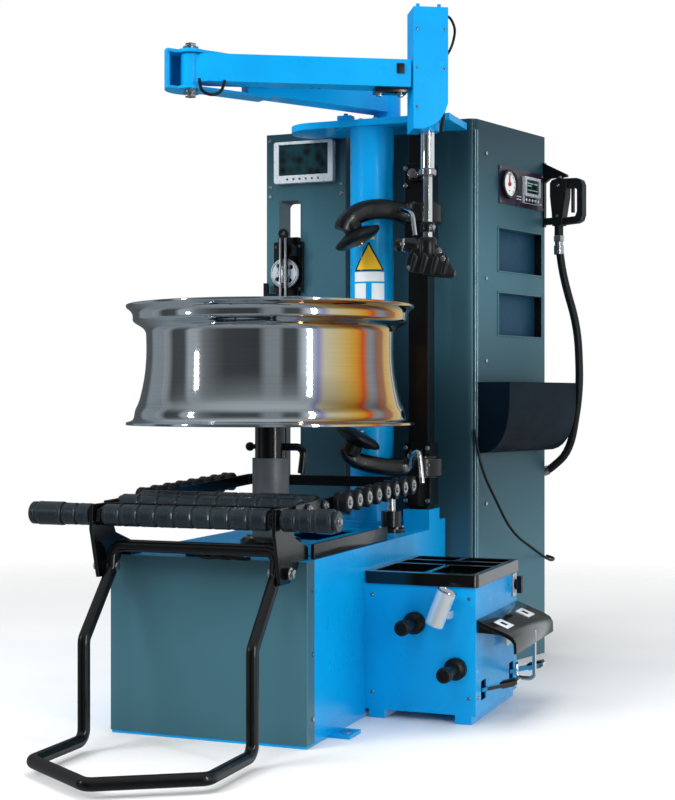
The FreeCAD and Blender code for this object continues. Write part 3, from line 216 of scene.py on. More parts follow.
def lit(name, colour, power):
    s = Surface(name, Emission_Strength=power, Roughness=0.4)
    tone = s.mix(s.span(s.noise(120)), colour, (*(c * 0.7 for c in colour[:3]), 1))
    s.put(Base_Color=tone, Emission_Color=tone)
    return s.mat


def screen():
    """Dark display with faint lit blocks, nothing readable."""
    s = Surface("screen_glass", Coat_Weight=0.25, Coat_Roughness=0.05, Roughness=0.3,
                Specular_IOR_Level=0.2, Emission_Strength=0.25)
    blocks = s.add("TexVoronoi", s.coords["Object"], None, 38).outputs["Distance"]
    tone = s.mix(s.span(blocks, 0, 1, 0.2, 0.7), srgb(2, 8, 10), srgb(10, 44, 50))
    s.put(Base_Color=tone, Emission_Color=tone)
    return s.mat


# name, darker and lighter colour, roughness, grain, relief, edge radius, edge wear and painted edge
# highlight, shine, coat, metal
MAT = {
    "blue": paint("blue_paint", (0, 140, 206), (0, 155, 219), 0.3, 260, 0.03, 0.002, 0.2, 0.16, 0.08),
    "grey": paint_grey(),
    "black": paint("black_paint", (4, 4, 5), (8, 9, 10), 0.22, 180, 0.08, 0.0018, 0.3, 0.35, 0.25),
    "cast": paint("cast_black", (5, 6, 7), (11, 12, 13), 0.3, 150, 0.35, 0.003, 0.5, 0.35, 0.2),
    "plastic": paint("black_plastic", (6, 8, 9), (13, 15, 17), 0.4, 520, 0.25, 0.0015, 0.3, 0.35),
    "gloss": paint("gloss_black", (4, 4, 5), (8, 8, 9), 0.14, 300, 0.05, 0.003, 0.3, 0.4, 0.6),
    "roller": paint("roller_steel", (26, 34, 40), (44, 56, 64), 0.28, 240, 0.1, 0.0015, 0.6, 0.5, 0.2, 0.55,
                    (0.2, 1, 1)),
    "chrome": chrome("chrome"),
    "zinc": chrome("zinc_steel", 0.5, 0.26),
    "steel": chrome("brushed_steel", 0.55, 0.32, (1, 1, 0.05)),
    "rim": polished_rim(),
    "bin": paint("bin_plastic", (4, 14, 22), (10, 26, 38), 0.38, 300, 0.12, 0.003, 0.2, 0.06),
    "recess": paint("recess_paint", (6, 44, 66), (16, 66, 92), 0.45, 300, 0.1, shine=0.3),
    "cup": paint("bright_cup", (206, 216, 222), (236, 242, 246), 0.12, 500, 0.02, metal=0.55, coat=0.4),
    # painted highlight: pale finish for the strips that stand in for light on the cabinet's corner bends
    "bend_highlight": paint("painted_highlight_strip", (120, 160, 172), (168, 200, 208), 0.25, metal=0.5, coat=0.3),
    "silver": paint("silver_plastic", (176, 184, 192), (204, 210, 216), 0.28, 480, 0.06, metal=0.3),
    "screen": screen(),
    "lit": lit("display_digits", srgb(150, 170, 160), 0.35),
    "lit_soft": lit("screen_picture", srgb(46, 66, 74), 0.2),
    "panel": paint("panel_print", (26, 18, 34), (44, 26, 52), 0.3, 300, 0.03, coat=0.3),
    "rubber": paint("hose_rubber", (6, 8, 10), (13, 16, 18), 0.4, 600, 0.2, shine=0.35),
    "grey_cast": paint("cast_grey", (92, 96, 98), (120, 124, 126), 0.5, 160, 0.4, metal=0.4),
    "red": paint("needle_red", (150, 24, 18), (190, 34, 26), 0.35),
    "brass": finish("brass", (0.62, 0.42, 0.12, 1), (0.72, 0.52, 0.18, 1), 0.22, 400, 0.05, metal=1.0),
    "yellow": paint("label_yellow", (226, 176, 20), (240, 196, 34), 0.35, 500, 0.02),
    "white": paint("label_white", (206, 214, 218), (226, 232, 236), 0.4, 500, 0.02),
    "dial": paint("dial_white", (226, 228, 230), (240, 242, 244), 0.35, 500, 0.02),
}

CAD_FINISH = {
    "blue": "base_frame column top_plate inner_link outer_link head_box control_box",
    "grey": "front_cover monitor_housing tower_cabinet",
    "black": "lift_brackets guide_rail table_frame wheel_lift upper_carriage lower_carriage spindle_post "
             "lift_cylinder drive_motor gun_holder helper_carriage lock_pin",
    "cast": "upper_arm lower_arm tool_head",
    "plastic": "left_skate_wheels right_skate_wheels upper_disc lower_disc inflation_gun gun_trigger "
               "power_switch cone_pegs pressure_gauge",
    "bin": "storage_bin",
    "gloss": "tool_tray pedal_hood",
    "roller": "roller_front roller_second roller_third",
    "chrome": "tool_shaft pedal_front pedal_rear",
    "cup": "brush_cup",
    "rim": "wheel_rim",
    "zinc": "elbow_pin clamp_nut lift_rod panel_screws motor_pulley worm_pulley",
    "silver": "monitor_bezel display_unit helper_wheel",
    "screen": "monitor_screen",
    "panel": "gauge_panel",
    "rubber": "hoses drive_belt",
    "grey_cast": "gearbox",
    "red": "gauge_needle",
}


def dress_frame():
    """Give every piece of the frame its finish."""
    for key, names in CAD_FINISH.items():
        for name in names.split():
            slots = NODES[name].data.materials
            slots.clear()
            slots.append(MAT[key])


# ---- stage

# brightness of the hall by heading (0 = -180 degrees, 1 = 180) and by height (0 = straight down, 1 = up)
HALL_BANDS = ((0, 0.34), (0.02, 0.3), (0.04, 0.07), (0.08, 0.08), (0.095, 0.42), (0.12, 0.4),
              (0.14, 0.2), (0.175, 0.1), (0.2, 0.06), (0.285, 0.05), (0.305, 0.26), (0.335, 0.28),
              (0.35, 0.07), (0.38, 0.08), (0.4, 0.6), (0.425, 0.55), (0.45, 0.72), (0.6, 0.85),
              (0.73, 0.74), (0.75, 0.12), (0.92, 0.1), (0.94, 0.3))
SKY_BANDS = ((0, 0.32), (0.35, 0.22), (0.45, 0.06), (0.6, 0.1), (0.75, 0.3), (0.88, 0.46), (1, 0.55))

MIDDLE = Vector((0.1, 0.2, 0.8))
FLOOR_REACH = 9.0
FLOOR_LEVEL = -0.0005
EYE = (1.463, -3.325, 0.75)
EYE_TURN = 21.2
LENS, SENSOR = 67.5, 36.0


def put_in(name, data, spot=(0, 0, 0)):
    """New object in the scene."""
    obj = bpy.data.objects.new(name, data)
    obj.location = spot
    bpy.context.scene.collection.objects.link(obj)
    return obj


def area(name, spot, size, power, colour=(1, 1, 1), mirrored=False):
    """Soft rectangular light; only the mirrored ones show up in polished metal."""
    data = bpy.data.lights.new(name, "AREA")
    data.shape = "RECTANGLE"
    data.size, data.size_y = size
    data.energy = power
    data.color = colour
    lamp = put_in(name, data, spot)
    lamp.rotation_euler = (MIDDLE - Vector(spot)).to_track_quat("-Z", "Y").to_euler()
    lamp.visible_glossy = mirrored


def cool(bands):
    """Stops of slightly bluish greys."""
    return [(place, (tone * 0.9, tone * 0.97, tone)) for place, tone in bands]


def surroundings():
    """White to the camera, a soft grey fill, and a dark hall with pale bands for the metal to mirror."""
    world = bpy.data.worlds.new("studio")
    s = Tree(world)
    fill = s.nodes["Background"]
    s.feed(fill.inputs["Color"], (0.95, 0.98, 1, 1))
    s.feed(fill.inputs["Strength"], 0.56)
    way = s.add("SeparateXYZ", s.add("TexCoord").outputs["Generated"]).outputs
    heading = s.calc("ARCTAN2", way["Y"], way["X"])
    hall = s.ramp(s.span(heading, 0, 1, -pi, pi), cool(HALL_BANDS))
    sky = s.ramp(s.span(way["Z"], 0, 1, -1.0, 1), cool(SKY_BANDS))
    steep = s.span(s.calc("ABSOLUTE", way["Z"]), 0, 1, 0.25, 0.6)
    room = s.add("Background", s.mix(steep, hall, sky)).outputs[0]
    clear = s.add("Background", (1, 1, 1, 1)).outputs[0]
    path = s.add("LightPath").outputs
    unseen = s.add("MixShader", path["Is Glossy Ray"], fill.outputs[0], room).outputs[0]
    seen = s.add("MixShader", path["Is Camera Ray"], unseen, clear).outputs[0]
    s.feed(s.nodes["World Output"].inputs["Surface"], seen)
    return world


def stage():
    """Floor, surroundings, lights, and the view from the front right at chest height."""
    scene = bpy.context.scene
    mesh = bpy.data.meshes.new("floor")
    far = FLOOR_REACH
    mesh.from_pydata([(-far, -far, 0), (far, -far, 0), (far, far, 0), (-far, far, 0)], [], [(0, 1, 2, 3)])
    floor = put_in("floor", mesh, (0, 0, FLOOR_LEVEL))
    floor.visible_glossy = False
    ground = Surface("floor_paint", Roughness=0.65)
    pale = ground.mix(ground.span(ground.noise(2)), (0.86, 0.86, 0.86, 1), (0.9, 0.9, 0.9, 1))
    away = ground.add("VectorMath", ground.coords["Object"], operation="LENGTH").outputs["Value"]
    ground.put(Base_Color=pale, Alpha=ground.span(away, 1, 0, 1.4, 3.6))
    mesh.materials.append(ground.mat)

    scene.world = surroundings()
    area("key", (-1.9, -3.1, 2.9), (1.5, 1.5), 100)
    area("side_strip", (2.7, -1.72, 1.1), (0.2, 2.4), 34, mirrored=True)
    area("left_strip", (-2.3, -2.4, 1.5), (0.22, 0.8), 9, (0.8, 0.92, 1), True)
    area("front_strip", (0.25, -4.2, 3), (1.2, 1.2), 40)
    area("right_fill", (3, 1.2, 1.2), (2.6, 2.2), 22)
    area("top", (0, 0.2, 3.6), (2.2, 2.2), 60)

    camera = bpy.data.cameras.new("camera")
    camera.lens, camera.sensor_width = LENS, SENSOR
    eye = put_in("camera", camera, EYE)
    eye.rotation_euler = (radians(90), 0, radians(EYE_TURN))
    scene.camera = eye
    scene.view_settings.view_transform = "Standard"


# ---- places, in millimetres

def at(name):
    """Where a hinge of the record sits."""
    return Vector(JOINT[name]["pos_m"]) / MM


def box(node):
    """Lowest and highest corner of a node."""
    return [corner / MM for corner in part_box(node)]


def lo(node):
    return box(node)[0]


def hi(node):
    return box(node)[1]


def mid(node):
    return (lo(node) + hi(node)) / 2


def flat(v):
    return Vector((v.x, v.y, 0))


def frame_from(origin, x_axis):
    """Upright local frame from its origin and X direction."""
    x = x_axis.normalized()
    y = UP.cross(x).normalized()
    turn = Matrix((x, y, x.cross(y))).transposed().to_4x4()
    turn.translation = origin
    return turn


def along(axis, origin):
    """Matrix that points local Z along an axis."""
    turn = Vector(axis).to_track_quat("Z", "Y").to_matrix().to_4x4()
    turn.translation = Vector(origin)
    return turn


def ahead(x, y, z):
    """Matrix at a spot, with local Z to the front."""
    return along((0, -1, 0), (x, y, z))


def turned(count, shift=0.0):
    """Matrices that turn evenly about Z."""
    return [Matrix.Rotation(tau * (i + shift) / count, 4, "Z") for i in range(count)]


move = Matrix.Translation
NEEDLE_ALONG, NEEDLE_IN = 172, -10
BACK_ALONG = Vector(JOINT["gun_trigger_pull"]["axis"])
INWARD = UP.cross(BACK_ALONG)
SIDE = frame_from(flat(at("gauge_needle_turn") - BACK_ALONG * NEEDLE_ALONG - INWARD * NEEDLE_IN), BACK_ALONG)
SHOULDER, ELBOW, HEAD_AT = (flat(at(n)) for n in ("inner_link_swing", "outer_link_swing", "tool_head_turn"))
INNER = frame_from(SHOULDER, ELBOW - SHOULDER)
OUTER = frame_from(ELBOW, HEAD_AT - ELBOW)
HEAD = frame_from(HEAD_AT, HEAD_AT - ELBOW)
TOOL = move(HEAD_AT) @ Matrix.Rotation(radians(14), 4, "Z")
RAIL = flat(at("upper_arm_swing"))
XZ = Matrix(((1, 0, 0, 0), (0, 0, -1, 0), (0, 1, 0, 0), (0, 0, 0, 1)))
YZ = Matrix(((0, 0, 1, 0), (1, 0, 0, 0), (0, 1, 0, 0), (0, 0, 0, 1)))


# ---- shapes

def closed_grid(rows, wrap_rows=False, base=None):
    """Mesh between rings of points, capped at its ends unless it closes on itself."""
    bm = bmesh.new()
    rows = [[bm.verts.new(p) for p in row] for row in rows]
    for a, b in zip(rows, rows[1:] + (rows[:1] if wrap_rows else [])):
        for i in range(len(a)):
            j = (i + 1) % len(a)
            bm.faces.new((a[i], a[j], b[j], b[i]))
    if not wrap_rows:
        bm.faces.new(rows[0][::-1])
        bm.faces.new(rows[-1])
    bmesh.ops.recalc_face_normals(bm, faces=bm.faces)
    if base:
        bm.transform(base)
    return bm


def circle(radius, count, height=None):
    """Points around a circle, flat or at a height."""
    rest = () if height is None else (height,)
    return [(radius * cos(tau * i / count), radius * sin(tau * i / count), *rest) for i in range(count)]


def lathe(profile, count, base=None, ring=False):
    """Solid turned about Z from (radius, height) points."""
    return closed_grid([circle(radius, count, height) for radius, height in profile], ring, base)


def hoop(profile, count, base=None):
    """Turned ring, whose section closes on itself."""
    return lathe(profile, count, base, True)


def rod(radius, low, high, count, base):
    return lathe([(0.5, low), (radius, low), (radius, high), (0.5, high)], count, base)


def collar(inner, outer, low, high, count, base):
    return hoop([(inner, low), (outer, low), (outer, high), (inner, high)], count, base)


def smooth_loop(points, steps=4):
    """Closed Catmull-Rom curve through the points."""
    out = []
    count = len(points)
    for i in range(count):
        p0, p1, p2, p3 = (Vector((*points[(i + k - 1) % count], 0)) for k in range(4))
        for s in range(steps):
            t = s / steps
            out.append(0.5 * ((2 * p1) + (p2 - p0) * t + (2 * p0 - 5 * p1 + 4 * p2 - p3) * t * t
                              + (3 * p1 - p0 - 3 * p2 + p3) * t ** 3))
    return [(p.x, p.y) for p in out]


def prism(outline, low, high, bevel=1.0, base=None):
    """Polygon in XY raised along Z, its sharp edges rounded."""
    bm = closed_grid([[(x, y, z) for x, y in outline] for z in (low, high)])
    if bevel:
        sharp = [e for e in bm.edges if e.is_manifold and e.calc_face_angle(0) > radians(30)]
        bmesh.ops.bevel(bm, geom=sharp, offset=bevel, segments=2, profile=0.6, affect="EDGES",
                        clamp_overlap=True)
    if base:
        bm.transform(base)
    return bm


def block(x, y, z, bevel=1.0, base=None):
    return prism([(x[0], y[0]), (x[1], y[0]), (x[1], y[1]), (x[0], y[1])], z[0], z[1], bevel, base)


def upright_prism(outline, low, high, bevel=1.0, base=None):
    """Polygon in XZ raised along Y from low to high."""
    return prism(outline, -high, -low, bevel, (base or Matrix()) @ XZ)


def rounded_path(points, bend, steps=6):
    """Points with each corner turned into an arc-like curve."""
    points = [Vector(p) for p in points]
    out = [points[0]]
    for before, corner, after in zip(points, points[1:], points[2:]):
        a, b = (corner + (p - corner).normalized() * min(bend, (p - corner).length * 0.49)
                for p in (before, after))
        for s in range(steps + 1):
            t = s / steps
            out.append(a * (1 - t) ** 2 + corner * 2 * t * (1 - t) + b * t * t)
    out.append(points[-1])
    return out


def sweep(path, section, sides=16, base=None, power=2.0):
    """Rounded bar along a path, with half its width and height from section(i)."""
    angles = [tau * (k + 0.5) / sides for k in range(sides)]
    outline = [[copysign(abs(v) ** (2 / power), v) for v in (cos(a), sin(a))] for a in angles]
    rows = []
    side = None
    for i, p in enumerate(path):
        run = (path[min(i + 1, len(path) - 1)] - path[max(i - 1, 0)]).normalized()
        if side is None:
            side = run.cross(UP)
            side = side.normalized() if side.length > 0.05 else run.orthogonal().normalized()
        side = (side - run * side.dot(run)).normalized()
        lift = side.cross(run)
        wide, tall = section(i)
        rows.append([p + side * wide * c + lift * tall * s for c, s in outline])
    return closed_grid(rows, base=base)


def tube(points, radius, bend=15, sides=16, base=None):
    """Round hose or wire through the points."""
    return sweep(rounded_path(points, bend), lambda i: (radius, radius), sides, base)


def casting(points, sizes, bend=30, base=None, power=3.2):
    """Cast arm along a path, with half widths and heights spread along it."""
    path = rounded_path(points, bend, 5)
    stops = [0.0]
    for a, b in zip(path, path[1:]):
        stops.append(stops[-1] + (b - a).length)

    def section(i):
        place = stops[i] / stops[-1] * (len(sizes) - 1)
        k = min(int(place), len(sizes) - 2)
        t = place - k
        return tuple(sizes[k][j] * (1 - t) + sizes[k + 1][j] * t for j in (0, 1))

    return sweep(path, section, 20, base, power)


def bolt(radius, height, base):
    """Hexagon head on a washer, standing on local Z = 0."""
    wide = radius * 1.35
    washer = lathe([(0.4, 0), (wide, 0), (wide, 0.8), (radius * 1.25, 1.4), (0.4, 1.4)], 32)
    join(washer, prism(circle(radius, 6), 1.2, height, radius * 0.08))
    washer.transform(base)
    return washer


def dome(radius, height, base):
    """Round screw head with a socket."""
    socket = radius * 0.35
    return hoop([(socket, -0.2), (socket, height * 0.35), (radius * 0.45, height),
                  (radius * 0.8, height * 0.8), (radius, height * 0.25), (radius, -0.2)], 24, base)


def screws(way, xs, ys, zs):
    """Panel screws at every crossing of the places given."""
    return [dome(4.5, 2.6, along(way, (x, y, z))) for x in xs for y in ys for z in zs]


def join(target, shape):
    """Move a shape's mesh into another."""
    temp = bpy.data.meshes.new("part")
    shape.to_mesh(temp)
    shape.free()
    target.from_mesh(temp)
    bpy.data.meshes.remove(temp)


class Piece:
    """One object made of several shapes, each with its own finish."""

    def __init__(self, name, body, slot, *stands_for):
        self.name, self.body, self.slot, self.stands_for = name, body, slot, stands_for
        self.bm = bmesh.new()
        self.keys = []

    def add(self, key, *shapes):
        """Join shapes to the piece in one finish."""
        if key not in self.keys:
            self.keys.append(key)
        for shape in shapes:
            for face in shape.faces:
                face.material_index = self.keys.index(key)
                face.smooth = True
            join(self.bm, shape)

    def bolt(self, radius, height, base):
        """Add one zinc-plated bolt."""
        self.add("zinc", bolt(radius, height, base))

    def done(self, angle=32):
        """Turn the shapes into an object that rides its body."""
        mesh = bpy.data.meshes.new(self.name)
        self.bm.transform(Matrix.Scale(MM, 4))
        self.bm.to_mesh(mesh)
        self.bm.free()
        mesh.set_sharp_from_angle(angle=radians(angle))
        for key in self.keys:
            mesh.materials.append(MAT[key])
        obj = put_in(self.name, mesh)
        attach(obj, self.body)
        if self.stands_for:
            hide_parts(*self.stands_for)


# ---- turntable and wheel

def wheel():
    """Bare alloy wheel: turned barrel, ten spokes, hub, lug holes drawn as collars around painted shade
    discs, and valve.
    """
    high, low, wide = hi("wheel_rim").z, lo("wheel_rim").z, hi("wheel_rim").x
    # radii, each with its depth under the top or its height over the bottom
    outside = [(wide - 1.5, 0), (wide, 3), (wide - 1.5, 7), (341, 11), (336, 16), (332, 23), (331, 31),
               (331, 37), (326, 43), (316, 49), (306, 56), (300.5, 65), (299, 78), (299, 127), (304, 177)]
    bottom = [(315, 60), (325, 36), (328, 20), (333, 11), (wide - 2, 7), (wide, 3), (wide - 2, 0), (330, 2),
              (321, 12), (318, 34), (308, 60)]
    inside = [(297, 177), (292, 127), (292, 76), (297, 58), (310, 45), (323, 35), (324, 24), (330, 10),
              (338, 1)]
    section = [(r, high - d) for r, d in outside] + [(r, low + d) for r, d in bottom]
    section += [(r, high - d) for r, d in inside]
    rim = Piece("wheel_rim_turned", "spindle", "polished_rim", "wheel_rim")
    rim.add("rim", hoop(smooth_loop(section, 3), 160))
    seat = lo("clamp_nut").z - 45
    hub = [(37, 1), (92, 1), (98, 8), (96, 36), (88, 44), (52, 44), (46, 40), (37, 40)]
    rim.add("rim", hoop(smooth_loop(hub, 2), 96, move((0, 0, seat))))
    spoke = [(84, 0, 22), (150, 0, 27), (220, 0, 25), (296, 0, 17)]
    sizes = [(26, 14), (19, 12), (18, 11), (26, 12)]
    for turn in turned(10):
        rim.add("rim", casting(spoke, sizes, 40, turn @ move((0, 0, seat)), 2.8))
    for turn in turned(5, 0.5):
        lug = turn @ move((66, 0, seat))
        # painted shade: a black disc in each lug hole stands in for the dark inside of the hole
        rim.add("black", rod(9, 43, 44.6, 24, lug))
        rim.add("zinc", collar(9, 12, 43, 45.4, 24, lug))
    valve = along((-1, 0, 0.9), (306, 20, high - 62))
    rim.add("rubber", lathe([(0.5, 0), (7, 0), (6, 10), (4, 26), (0.5, 26)], 20, valve))
    rim.add("zinc", lathe([(0.5, 26), (3.6, 26), (3.6, 36), (0.5, 37)], 16, valve))
    rim.done()


def spindle_details():
    """Wing nut, and the bolted collar where the spindle leaves the deck."""
    nut = Piece("wing_nut", "nut", "zinc_steel", "clamp_nut")
    base, top = lo("clamp_nut").z, hi("clamp_nut").z
    nut.add("zinc", hoop([(20.05, base), (49, base), (50, base + 3), (36, base + 24), (31, base + 26),
                           (30, top - 3), (27, top), (20.05, top)], 64))
    for side in (-1, 1):
        arm = [(side * 26, 0, top - 20), (side * 60, 0, top - 16), (side * 84, 0, top - 10)]
        nut.add("black", casting(arm, [(9, 9), (8, 8), (10, 11)], 20))
        nut.add("black", lathe([(0.5, -12), (9, -11), (12.5, 0), (9, 11), (0.5, 12)], 24,
                               move((side * 86, 0, top - 9))))
    nut.done()
    neck = Piece("neck_collar", "base", "black_paint")
    deck = hi("front_cover").z
    flange = [(46, 0), (74, 0), (74, 10), (68, 16), (50, 20), (46, 20)]
    neck.add("black", hoop(flange, 64, move((0, 0, deck))))
    for turn in turned(6):
        neck.bolt(5.5, 7, turn @ move((60, 0, deck + 14)))
    neck.done()


# ---- rollers

SHAFT_R, GROOVE, CROWN = 12, 3.5, 2.2


def roller_profile(sections):
    """Crowned sections parted by grooves, down to the shaft at wide gaps."""
    out = [(0.5, sections[0][0])]
    for i, (low, high, radius) in enumerate(sections):
        if i:
            before = sections[i - 1][1]
            depth = SHAFT_R if low - before > 8 else radius - GROOVE
            out += [(depth, before), (depth, low)]
        out += [(radius - CROWN, low), (radius, low + CROWN), (radius, high - CROWN), (radius - CROWN, high)]
    out.append((0.5, sections[-1][1]))
    return out


def even(low, high, pitch, radius):
    count = round((high - low) / pitch)
    step = (high - low) / count
    return [(low + i * step, low + (i + 1) * step - 3, radius) for i in range(count)]


def rollers():
    """Three turned rollers with dark bands and a bolt at either end."""
    left, right = lo("roller_front").x, hi("roller_front").x
    radius = (hi("roller_second").z - lo("roller_second").z) / 2
    front = [(left, left + 14, radius + 1), (left + 16, -300, radius + 2)]
    front += even(-298, -226, 36, radius) + even(-196, 197, 44, radius) + even(226, 300, 37, radius)
    front += [(300, right - 10, radius + 2), (right - 8, right, radius - 1)]
    for word in ("front", "second", "third"):
        node = "roller_" + word
        left, right = lo(node).x, hi(node).x
        sections = front
        if word != "front":
            sections = [(left, left + 14, SHAFT_R), *even(-236, 206, 49, radius),
                        (right - 14, right, SHAFT_R)]
        centre = at(word + "_roller_spin")
        axle = along((1, 0, 0), centre)
        made = Piece(node + "_turned", word + "_roller", "roller_steel", node)
        made.add("roller", lathe(roller_profile(sections), 56, axle))
        for low, high, size in sections:
            if high - low > 30 and size >= radius:
                inner, outer = size - 0.5, size + 0.35
                for x in (low + 7, high - 7):
                    made.add("black", hoop([(inner, x - 1.3), (outer, x - 0.9), (outer, x + 0.9),
                                             (inner, x + 1.3)], 48, axle))
        for end, way in ((sections[0][0], -1), (sections[-1][1], 1)):
            made.bolt(6.5, 5.5, along((way, 0, 0), centre + Vector((end, 0, 0))))
        made.done()


def skate_wheels():
    """Two rows of eight wheels, each with a steel bearing and an axle bolt."""
    radius = 24.0
    for node, outward in (("left_skate_wheels", -1), ("right_skate_wheels", 1)):
        low, high = box(node)
        x, h = (low.x + high.x) / 2, (high.x - low.x) / 2
        first = Vector((x, low.y + radius, low.z + radius))
        last = Vector((x, high.y - radius, high.z - radius))
        tread = [(9, -h), (18, -h), (22.5, -h + 2), (24, -h + 5), (24, -4), (22, -3), (22, 3), (24, 4),
                 (24, h - 5), (22.5, h - 2), (18, h), (16, h - 3), (9, h - 3)]
        bearing = [(9, h - 4), (15.5, h - 4), (15.5, h - 1.5), (13.5, h - 0.5), (9, h - 1.5)]
        made = Piece(node + "_moulded", "table", "black_plastic", node)
        for i in range(8):
            turn = along((outward, 0, 0), first.lerp(last, i / 7))
            made.add("plastic", hoop(tread, 40, turn))
            made.add("steel", hoop(bearing, 32, turn))
            made.bolt(7, 6, turn @ move((0, 0, h - 3)))
        made.done()


def table_details():
    """Wheel loop's bolts, valve with unions and pipes, deck rail, jack's collar."""
    loop = Piece("loop_bolts", "loop", "zinc_steel")
    pivot = at("wheel_lift_swing")
    for side in (-1, 1):
        for reach, way in ((231, 1), (190, -1)):
            loop.bolt(10, 9, along((side * way, 0, 0), (side * reach, pivot.y, pivot.z)))
    loop.done()
    deck = Piece("deck_fittings", "base", "black_paint")
    top, right = hi("front_cover").z, hi("front_cover").x
    deck.add("black", block((right - 15, right - 6), (-296, 190), (top, top + 34), 3),
             block((-60, 70), (-338, -300), (top, top + 26), 4))
    for x in (-35, 5, 45):
        out = (0, -1, 0.35)
        deck.add("brass", prism(circle(9, 6), 0, 12, 1, along(out, (x, -334, top + 20))),
                 rod(5.5, 0, 20, 20, along(out, (x, -336, top + 21))))
        pipe = [(0, 0, 26), (0, -20, 30), (30, -32, 8), (50, -20, 3), (60, 0, 3)]
        deck.add("rubber", tube(pipe, 4, 12, 12, move((x, -352, top))))
    jack = move(flat(mid("lift_rod")) + UP * lo("lift_cylinder").z)
    deck.add("black", hoop([(27, 0), (36, 0), (36, 10), (29, 14), (27, 14)], 48, jack))
    for turn in turned(4, 0.5):
        deck.bolt(4.5, 6, jack @ turn @ move((32, 0, 10)))
    for y in (-190, 600):
        for side in (-1, 1):
            deck.add("zinc", collar(8.6, 15, 8, 9.6, 32, move((side * (right + 28), y, 0))))
    deck.done()


# ---- bead disc arms

def disc_arm(word, near, far, sizes, grip, way, journal):
    """One arm and its disc; the path's near and far points count from the rail and the disc."""
    level, centre = at(word + "_arm_swing").z, at(word + "_disc_spin")
    start = RAIL + Vector((-33, -33, 0))
    path = [root + Vector((x, y, level + z)) for root, spots in ((start, near), (flat(centre), far))
            for x, y, z in spots]
    hub = along(way, centre)
    made = Piece(word + "_arm_cast", word + "_swing", "cast_black", word + "_arm")
    made.add("cast", casting(path, sizes, 34))
    made.add("cast", hoop([(43.1, 3), (54, 3), (57, 6), (57, 51), (54, 54), (43.1, 54)], 64,
                           move(RAIL + UP * journal)))
    made.add("cast", lathe([(0.5, 19), (23, 19), (26, 22), (25, 48), (18, 54), (0.5, 54)], 40, hub))
    made.add("zinc", lathe([(0.5, -24), (9, -24), (12, -22), (12, 20), (0.5, 20)], 32, hub))
    made.add("chrome", tube(grip, 6.5, 18, 18))
    made.add("zinc", bolt(9, 9, along((-0.6, -0.7, 0.2), path[2] + Vector((-14, -24, 4)))),
             bolt(9, 9, along((0.3, -0.95, 0.1), Vector(grip[0]) + Vector((-10, -14, -2)))))
    for turn in (200, 250):
        out = Vector((cos(radians(turn)), sin(radians(turn)), 0))
        made.bolt(7, 7, along(out, RAIL + out * 56.5 + UP * (journal + 28)))
    made.done(40)
    disc = Piece(word + "_disc_turned", word + "_bead_disc", "black_plastic", word + "_disc")
    disc.add("plastic", hoop(smooth_loop([(12.2, -16), (28, -17), (44, -15), (57, -10), (64, -4), (65, 0),
                                           (64, 4), (55, 9), (44, 13), (34, 18), (24, 18), (12.2, 18)], 3),
                              96, hub))
    disc.done(50)


def disc_arms():
    """Both arms, and the screws, catch plates and knobs of their carriages."""
    tilt = radians(27)
    lean = Vector((-0.9323, -0.3616, 0)) * sin(tilt)
    disc_arm("upper", ((0, 0, 0), (-40, -36, 9), (-76, -68, 7), (-110, -94, -8)),
             ((-31, -12, -34), (-36, -14, -52)),
             [(24, 27), (23, 26), (24, 27), (27, 28), (30, 27), (27, 22)],
             [(165, 520, 1262), (166, 492, 1262), (212, 446, 1246), (222, 440, 1184)],
             lean + UP * cos(tilt), 1226)
    disc_arm("lower", ((0, 0, 0), (-40, -36, -1), (-76, -68, 8), (-108, -92, 18)),
             ((-29, -12, 36), (-33, -13, 52)), [(23, 24), (22, 24), (22, 24), (22, 23), (22, 22), (16, 16)],
             [(185, 512, 567), (198, 482, 600), (226, 460, 618), (240, 448, 530)],
             lean - UP * cos(tilt), 540)
    for word in ("upper", "lower"):
        low, high = box(word + "_carriage")
        made = Piece(word + "_carriage_fittings", word + "_slide", "zinc_steel")
        for z in (low.z + 14, high.z - 14, high.z - 60):
            for x in (low.x + 12, high.x - 12):
                made.bolt(4.6, 5, ahead(x, low.y, z))
        made.add("black", block((low.x + 24, high.x - 24), (low.y - 12, low.y),
                                (high.z - 50, high.z - 18), 4))
        knob = [(0.5, 0), (9, 0), (9, 5), (5, 6), (5, 22), (12, 23), (12, 30), (0.5, 31)]
        made.add("chrome", lathe(knob, 28, ahead((low.x + high.x) / 2, low.y - 11, high.z - 34)))
        made.done()


# ---- tool arm

